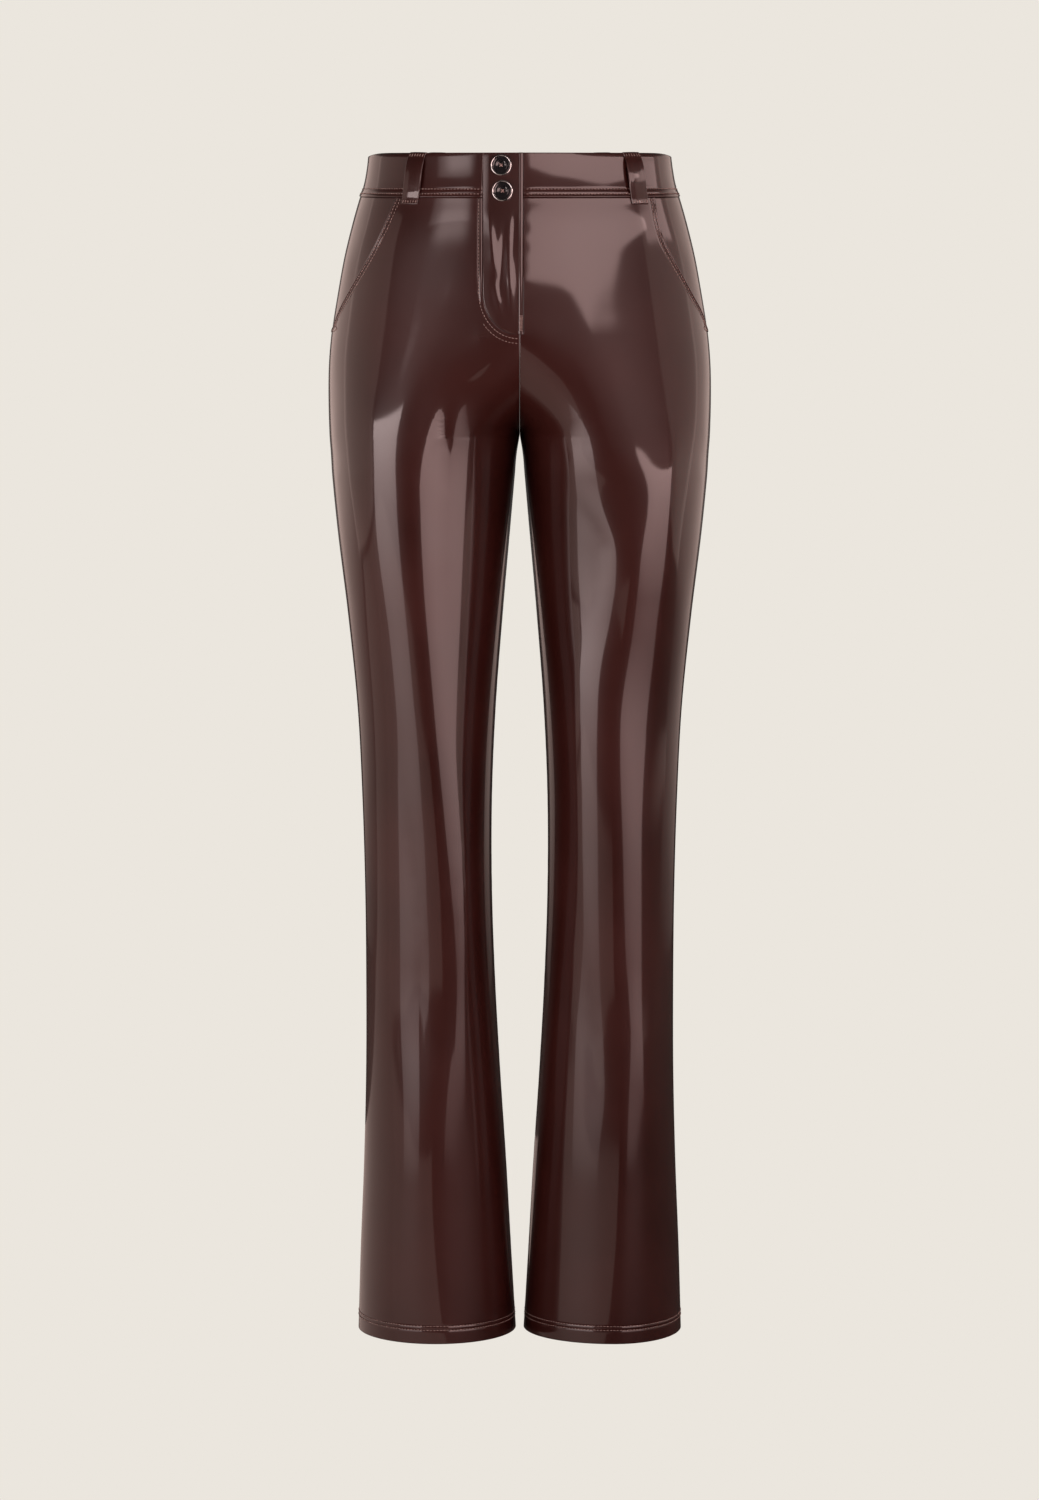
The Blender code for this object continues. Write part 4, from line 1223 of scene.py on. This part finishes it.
def stitches(name, tree, seam, length=STITCH_LENGTH):
    """Lays stitches on a seam and keeps them as one plain mesh."""
    carrier_mesh = bpy.data.meshes.new(name + "_places")
    carrier_mesh.from_pydata(seam.spots.tolist(), [], [])
    for label, values in (("along", seam.along), ("outward", seam.outward)):
        attribute = carrier_mesh.attributes.new(label, "FLOAT_VECTOR", "POINT")
        attribute.data.foreach_set("vector", values.astype(np.float32).ravel())
    carrier = bpy.data.objects.new(name + "_places", carrier_mesh)
    bpy.context.scene.collection.objects.link(carrier)
    modifier = carrier.modifiers.new("lay_stitches", "NODES")
    modifier.node_group = tree
    sockets = {item.name: item.identifier for item in tree.interface.items_tree if item.in_out == "INPUT"}
    modifier[sockets["Stitch length"]] = length
    modifier[sockets["Seed"]] = STITCH_SEED + len(name)
    bpy.context.view_layer.update()
    made = carrier.evaluated_get(bpy.context.evaluated_depsgraph_get())
    mesh = bpy.data.meshes.new_from_object(made)
    mesh.name = name
    carrier.modifiers.remove(modifier)
    bpy.data.objects.remove(carrier)
    thread = mesh.materials[-1]
    mesh.materials.clear()
    mesh.polygons.foreach_set("material_index", np.zeros(len(mesh.polygons), np.int32))
    return add_piece(name, mesh, [thread], None)


def seam_along(points, outward):
    """Stitch places an even pitch apart along a line of points."""
    steps = np.linalg.norm(np.diff(points, axis=0), axis=1)
    lengths = np.concatenate([[0.0], np.cumsum(steps)])
    count = max(int(lengths[-1] / STITCH_PITCH), 2)
    places = (np.arange(count) + 0.5) * lengths[-1] / count
    spots, out = [
        np.stack([np.interp(places, lengths, line) for line in lines.T], axis=1)
        for lines in (points, outward)
    ]
    out = unit(out)
    return Seam(spots + out * THREAD_LIFT, unit(np.gradient(spots, axis=0)), out)


def on_cloth(side, drops, angles):
    """Points of the cloth and outward directions at matching drops and angles."""
    near = angles[:, None] + np.array([-0.2, 0.0, 0.2])
    here = cloth(side, drops, near)[0]
    below = cloth(side, drops + 0.3 * MM, near)[0]
    outward = unit(np.cross(below[:, 1] - here[:, 1], here[:, 2] - here[:, 0]))
    return here[:, 1], outward * SIGN[side]


def angles_beside(side, drops, angles, distance):
    """Angles at a distance towards the inner leg from a line, measured square to the line."""
    rings = Rings(side, drops)
    x, y = rings.points(angles[:, None] + np.array([-0.25, 0.25]))
    per_degree = np.hypot(np.diff(x, axis=1), np.diff(y, axis=1))[:, 0] * 2
    line_x, line_y = rings.points(angles[:, None])
    drift = np.hypot(np.gradient(line_x[:, 0], drops), np.gradient(line_y[:, 0], drops))
    return angles - distance * np.sqrt(1 + drift**2) / per_degree


def pocket_seam(side):
    """Two rows of stitches along the pocket's edge."""
    drops = np.arange(BAND_HEIGHT + 1 * MM, pocket_end(side) - 1 * MM, 1 * MM)
    seams = []
    for row in POCKET_ROWS:
        angles = angles_beside(side, drops, pocket_angles(side, drops), row)
        seams.append(seam_along(*on_cloth(side, drops, angles)))
    return join_seams(seams)


def hem_seam(side):
    """Two rows of stitches round a hem."""
    turns = np.linspace(-178.5, 178.5, 400)
    rows = [np.full_like(turns, HEM_DROP - row) for row in HEM_ROWS]
    return join_seams([seam_along(*on_cloth(side, drops, turns)) for drops in rows])


def band_seam(side):
    """Two rows of stitches along the waistband's lower edge."""
    angles = np.linspace(band_start(side)[0][0] + 0.6, 89.4, 300)
    seams = []
    for row in BAND_ROWS:
        share = 1 - row / (BAND_HEIGHT - HALF_GAP)
        points, normals = band_grid(side, angles, np.array([share - 0.01, share, share + 0.01]))[:2]
        seams.append(seam_along(points[1], normals[1]))
    return join_seams(seams)


def fly_seam():
    """The row of stitches outside the fly panel's edge, and a second one under its end."""
    seams = []
    for grow, first in ((FLY_ROW, BAND_HEIGHT + 1 * MM), (FLY_LOW_ROW, FLY_BEND_DROP + 28 * MM)):
        last = FLY_CURVE_DROP + grow - 0.02 * MM
        curve = FLY_BEND_DROP + (last - FLY_BEND_DROP) * np.sin(np.linspace(0, np.pi / 2, 80))
        drops = np.concatenate([np.arange(first, FLY_BEND_DROP, 1 * MM), curve[curve > first]])
        across = np.maximum(fly_half_widths(drops, grow), 1.5 * MM)
        angles = Rings("right", drops).angle_at_x(across, "front")
        seams.append(seam_along(*on_cloth("right", drops, angles)))
    return join_seams(seams)


def bar_across_fly():
    """A short bar of tight stitches over the lower end of the fly panel's left edge."""
    drops = np.arange(138, 151, 1.1) * MM
    across = np.full((len(drops), 3), 1.2 * MM) + np.array([-1, 0, 1]) * MM
    points, normals = front_grid(across, drops)
    ahead = unit(points[:, 2] - points[:, 0])
    return Seam(points[:, 1] + normals[:, 1] * 0.95 * MM, ahead, normals[:, 1])


def loop_bars():
    """The bars of stitches that hold the belt loops' ends."""
    seams = []
    columns = np.linspace(-5.4, 5.4, 6) * MM
    for loop in LOOPS:
        for middle in (LOOP_TOP_DROP + 2.4 * MM, LOOP_END_DROP - 2.2 * MM):
            drops = middle + np.array([-0.4, 0.0, 0.4]) * MM
            points, normals, lift, _ = loop_grid(loop, drops, columns)
            spots = points[1] + normals[1] * (lift[1] + 0.1 * MM)[:, None]
            seams.append(Seam(spots, unit(points[2] - points[0]), normals[1]))
    return join_seams(seams)


def sew(thread):
    """Every row of stitches."""
    tree = stitch_tree(thread)
    for side in SIDES:
        stitches("stitches_pocket_" + side, tree, pocket_seam(side))
        stitches("stitches_hem_" + side, tree, hem_seam(side))
        stitches("stitches_waistband_" + side, tree, band_seam(side))
    stitches("stitches_fly", tree, fly_seam())
    stitches("stitches_fly_bar", tree, bar_across_fly(), FLY_BAR_STITCH)
    stitches("stitches_belt_loops", tree, loop_bars(), LOOP_BAR_STITCH)


# ------------------------------------------------------------------ buttons

# The dished face's profile: shares of its radius, and heights in mm.
FACE_PROFILE = (
    (0.00, 1.72),
    (0.30, 1.74),
    (0.50, 1.84),
    (0.56, 2.06),
    (0.62, 2.12),
    (0.68, 2.06),
    (0.76, 2.02),
    (0.90, 2.20),
    (0.97, 2.26),
    (1.00, 2.16),
    (1.00, 1.25),
    (0.00, 1.25),
)
CROSS_REACH = 1.9 * MM
CROSS_THICKNESS = 0.34 * MM
CROSS_LEVEL = 1.64 * MM
CROSS_RISE = 0.62 * MM
CROSS_STEPS = 12


def turned_mesh(name, profile, steps):
    """A turned piece about Z, from a profile of (radius, height)."""
    build = bmesh.new()
    verts = [build.verts.new((radius, 0.0, height)) for radius, height in profile]
    edges = [build.edges.new(pair) for pair in zip(verts, verts[1:])]
    bmesh.ops.spin(
        build, geom=verts + edges, cent=(0, 0, 0), axis=(0, 0, 1), angle=2 * math.pi, steps=steps
    )
    bmesh.ops.remove_doubles(build, verts=build.verts, dist=0.002 * MM)
    bmesh.ops.recalc_face_normals(build, faces=build.faces)
    mesh = bpy.data.meshes.new(name)
    build.to_mesh(mesh)
    build.free()
    mesh.shade_smooth()
    mesh.set_sharp_from_angle(angle=BUTTON_EDGE)
    return mesh


def arc(centre, radius, start, end, steps):
    """Points along an arc of a profile, with angles in degrees."""
    turns = np.radians(np.linspace(start, end, steps))
    return [(centre[0] + radius * math.cos(t), centre[1] + radius * math.sin(t)) for t in turns]


def rim_profile():
    """The metal cup of a button."""
    radius, height = BUTTON_RADIUS, BUTTON_HEIGHT
    round_off = BUTTON_RIM_WIDTH / 2
    well = radius - BUTTON_RIM_WIDTH
    profile = [(0.0, 1.0 * MM), (well - 0.2 * MM, 1.0 * MM), (well, 1.2 * MM)]
    profile += arc((radius - round_off, height - round_off), round_off, 180, 0, 13)
    profile += arc((radius - 0.8 * MM, 0.8 * MM), 0.8 * MM, 0, -70, 8)
    profile += [(radius - 1.6 * MM, 0.0), (0.0, 0.0)]
    return profile


def face_profile():
    """The dished face, with a shallow ring round its middle."""
    radius = BUTTON_RADIUS - BUTTON_RIM_WIDTH - 0.15 * MM
    return [(share * radius, height * MM) for share, height in FACE_PROFILE]


def button_seat(place):
    """Where a button sits, and the turn that lays it on the cloth."""
    drops = np.array([place.drop - 1 * MM, place.drop, place.drop + 1 * MM])
    across = np.broadcast_to(place.across + np.array([-1, 0, 1]) * MM, (3, 3)).copy()
    points, normals = front_grid(across, drops)
    normal = Vector(normals[1, 1])
    seat = Vector(points[1, 1]) + normal * BUTTON_SEAT
    return seat, normal.to_track_quat("Z", "Y")


def settle(mesh, seat, turn):
    """Puts a mesh made at the origin in its place."""
    mesh.transform(turn.to_matrix().to_4x4())
    mesh.transform(Matrix.Translation(seat))


def thread_cross(name, seat, turn, material):
    """Two short crossing stitches that hold the button's face."""
    shares = np.arange(CROSS_STEPS + 1)[:, None] / CROSS_STEPS * 2 - 1
    along = shares * CROSS_REACH
    middle = CROSS_LEVEL + CROSS_RISE * np.sqrt(np.maximum(1 - shares**2, 0))
    around = np.radians(np.arange(0, 360, 45))
    beside = np.cos(around) * CROSS_THICKNESS * 1.5
    points, faces = [], []
    for heading in np.radians([45, 135]):
        x = along * np.cos(heading) - beside * np.sin(heading)
        y = along * np.sin(heading) + beside * np.cos(heading)
        ring = np.arange(x.size).reshape(x.shape) + len(points) * x.size
        beyond = np.roll(ring, -1, axis=1)
        quads = np.stack([ring[:-1], beyond[:-1], beyond[1:], ring[1:]], axis=-1)
        faces += quads.reshape(-1, 4).tolist() + [ring[0].tolist(), ring[-1, ::-1].tolist()]
        points.append(np.stack([x, y, middle + np.sin(around) * CROSS_THICKNESS], axis=-1).reshape(-1, 3))
    mesh = closed_mesh(name, np.concatenate(points), faces, np.zeros(len(faces), np.int32))
    settle(mesh, seat, turn)
    add_piece(name, mesh, [material], None)


def button(place, metal, enamel, thread):
    """A button: metal rim, dark dished face and crossed thread."""
    seat, turn = button_seat(place)
    for ending, profile, material, slot in (
        ("_rim", rim_profile(), metal, "button_metal"),
        ("_face", face_profile(), enamel, "button_enamel"),
    ):
        mesh = turned_mesh(place.name + ending, profile, BUTTON_STEPS)
        settle(mesh, seat, turn)
        add_piece("turned_" + place.name + ending, mesh, [material], place.name + ending)
    thread_cross(place.name + "_thread", seat, turn, thread)


# ------------------------------------------------------------------ stage

BACKDROP = (0.831, 0.791, 0.730)
DIM_ROOM = (0.06, 0.055, 0.052)
FLOOR_LEVEL = 0.03


def for_camera_alone(tree, seen, unseen):
    """A mix that shows one shader to the camera and another to every other ray."""
    camera_ray = node(tree, "ShaderNodeLightPath").outputs["Is Camera Ray"]
    return node(tree, "ShaderNodeMixShader", {"Fac": camera_ray, 1: unseen, 2: seen})


def make_world():
    """A plain pale backdrop, and a dim room for the reflections."""
    world = bpy.data.worlds.new("studio")
    bpy.context.scene.world = world
    world.use_nodes = True
    tree = world.node_tree
    pale = tree.nodes["Background"]
    pale.inputs["Color"].default_value = (*BACKDROP, 1)
    room = node(tree, "ShaderNodeBackground", {"Color": (*DIM_ROOM, 1)})
    feed(tree, tree.nodes["World Output"].inputs["Surface"], for_camera_alone(tree, pale, room))


def make_floor():
    """A plain pale floor, a little below the hems."""
    bpy.ops.mesh.primitive_plane_add(size=14)
    floor = bpy.context.object
    floor.name = "floor"
    floor.location.z = BAND_HEIGHT / 2 - HEM_DROP - FLOOR_LEVEL
    looks = {"Base Color": (0.035, 0.030, 0.027, 1), "Roughness": 0.9}
    material, tree, shader = new_material("pale_floor", looks)
    glow = node(tree, "ShaderNodeEmission", {"Color": (*BACKDROP, 1)})
    feed(tree, tree.nodes["Material Output"].inputs["Surface"], for_camera_alone(tree, glow, shader))
    floor.data.materials.append(material)


# Softboxes: azimuth of the middle as seen from the garment (0 is towards the
# camera, positive to +X), distance, height of the middle, width and height in
# metres, brightness at the top and at the bottom, the shares of the width and
# of the height over which the sides and the ends fade, and the tint.
# The pointed lower edge of a softbox, in shares of its width and height: where
# its tip lies, and how far it rises towards the left and the right per width.
Point = namedtuple("Point", "across up left right")
FLAT = Point(0.5, -1.0, 0.0, 0.0)
MAUVE = (1.0, 0.80, 0.78)
ROSE = (1.0, 0.69, 0.66)
BROWN = (1.0, 0.74, 0.66)
SOFTBOXES = table(
    "name azimuth distance level width height top bottom sides ends tint point",
    ("left_low", -44.5, 1.5, -0.52, 1.10, 1.02, 6.2, 0.1, 0.04, 0.05, MAUVE, FLAT),
    ("right_low", 43.5, 1.5, -0.66, 1.36, 0.74, 5.0, 0.3, 0.04, 0.05, ROSE, FLAT),
    ("left_high", -29, 1.5, 0.27, 0.66, 0.40, 2.6, 2.2, 0.35, 0.30, MAUVE, FLAT),
    ("left_top", -31, 1.5, 0.36, 0.70, 0.20, 1.0, 1.0, 0.15, 0.10, MAUVE, FLAT),
    ("right_high", 39, 1.5, 0.145, 2.30, 0.71, 3.6, 4.0, 0.03, 0.04, ROSE, Point(0.275, 0.13, 0.42, 1.0)),
    ("right_side", 89, 1.5, 0.33, 1.03, 0.30, 2.2, 2.2, 0.10, 0.25, ROSE, FLAT),
    ("left_wall", -94, 3.0, 0.0, 3.0, 2.0, 0.45, 0.68, 0.03, 0.02, BROWN, FLAT),
    ("right_wall", 94, 3.0, 0.0, 3.0, 2.0, 0.30, 0.62, 0.03, 0.02, BROWN, FLAT),
    ("back_left", -138, 2.8, 0.1, 2.4, 2.6, 0.8, 0.8, 0.12, 0.3, BROWN, FLAT),
    ("back_right", 138, 2.8, 0.1, 2.4, 2.6, 0.7, 0.7, 0.12, 0.3, BROWN, FLAT),
)
# The lit parts of the floor: x and y of their edges, and their brightness.
FLOOR_CARDS = table(
    "left right near far glow",
    (-3.0, 0.02, -2.25, -0.14, 0.45),
    (-3.0, -0.18, -0.14, 1.3, 0.38),
)


def smooth_range(tree, value, low, high):
    """0 below the low value, 1 above the high one, smooth between."""
    span = {"Value": value, "From Min": low, "From Max": high}
    return node(tree, "ShaderNodeMapRange", span, interpolation_type="SMOOTHSTEP")


def fade(tree, value, share):
    """1 inside a softbox, falling to 0 over a share of its width at both edges."""
    nearest = math_node(tree, "MINIMUM", value, math_node(tree, "SUBTRACT", 1.0, value))
    return smooth_range(tree, nearest, 0.0, max(share, 0.001))


def pointed_edge(tree, across, up, point):
    """1 above a softbox's pointed lower edge and 0 below it."""
    sides = ((point.across, across, point.left), (across, point.across, point.right))
    slopes = []
    for first, second, rise in sides:
        slopes.append(math_node(tree, "MULTIPLY", math_node(tree, "SUBTRACT", first, second), rise))
    above = math_node(tree, "SUBTRACT", up, math_node(tree, "MAXIMUM", *slopes))
    return smooth_range(tree, above, point.up, point.up + 0.05)


def area_light(name, width, height, tint):
    """A rectangular light of brightness 1, not seen by the camera."""
    light = bpy.data.lights.new(name, "AREA")
    light.shape = "RECTANGLE"
    light.size, light.size_y = width, height
    light.color = tint
    light.energy = width * height * math.pi
    lamp = bpy.data.objects.new(name, light)
    bpy.context.scene.collection.objects.link(lamp)
    lamp.visible_camera = False
    return lamp


def add_softbox(box):
    """A softbox that faces the garment."""
    lamp = area_light(box.name, box.width, box.height, box.tint)
    turn = math.radians(box.azimuth)
    lamp.location = (box.distance * math.sin(turn), -box.distance * math.cos(turn), box.level)
    aim = Vector((0, 0, box.level)) - lamp.location
    lamp.rotation_euler = aim.to_track_quat("-Z", "Y").to_euler()
    lamp.data.use_nodes = True
    tree = lamp.data.node_tree
    spot = node(tree, "ShaderNodeNewGeometry").outputs["Parametric"]
    across, up = node(tree, "ShaderNodeSeparateXYZ", {0: spot}).outputs[:2]
    factors = [fade(tree, across, box.sides), fade(tree, up, box.ends)]
    level = {"Value": up, "To Min": box.bottom, "To Max": box.top}
    factors.append(node(tree, "ShaderNodeMapRange", level))
    if box.point is not FLAT:
        factors.append(pointed_edge(tree, across, up, box.point))
    product = factors[0]
    for factor in factors[1:]:
        product = math_node(tree, "MULTIPLY", product, factor)
    feed(tree, tree.nodes["Emission"].inputs["Strength"], product)


def add_floor_card(index, card):
    """A low card that lights the floor's reflection on one side of the garment."""
    width, length = card.right - card.left, card.far - card.near
    lamp = area_light("floor_card_%d" % index, width, length, BROWN)
    lamp.data.energy *= card.glow
    level = BAND_HEIGHT / 2 - HEM_DROP - FLOOR_LEVEL + 0.004
    lamp.location = ((card.left + card.right) / 2, (card.near + card.far) / 2, level)
    lamp.rotation_euler = (math.pi, 0, 0)


# The camera stands level with the waist and looks a little down.
CAMERA_LENS = 146.6
CAMERA_DOWN = 5.588
CAMERA_ACROSS = -0.0002


def make_camera():
    """The camera at the photograph's angle."""
    camera = bpy.data.objects.new("camera", bpy.data.cameras.new("camera"))
    bpy.context.scene.collection.objects.link(camera)
    camera.data.lens = CAMERA_LENS
    camera.data.sensor_width = 36
    camera.location = (CAMERA_ACROSS, -CAMERA_DISTANCE, BAND_HEIGHT / 2)
    camera.rotation_euler = (math.radians(90 - CAMERA_DOWN), 0, 0)
    bpy.context.scene.camera = camera


def main():
    """Builds every piece and the stage."""
    cloths = [coated_cloth(), knit_backing()]
    thread = sewing_thread()
    for side in SIDES:
        front_panel(side, cloths)
        back_panel(side, cloths)
        hip_panel(side, cloths)
        waistband(side, cloths)
    fly_panel(cloths)
    for loop in LOOPS:
        belt_loop(loop, cloths)
    metal, enamel = button_metal(), button_enamel()
    for spot in BUTTONS:
        button(spot, metal, enamel, thread)
    sew(thread)
    make_world()
    make_floor()
    for box in SOFTBOXES:
        add_softbox(box)
    for index, card in enumerate(FLOOR_CARDS):
        add_floor_card(index, card)
    make_camera()
    bpy.context.scene.view_settings.view_transform = "Standard"


main()
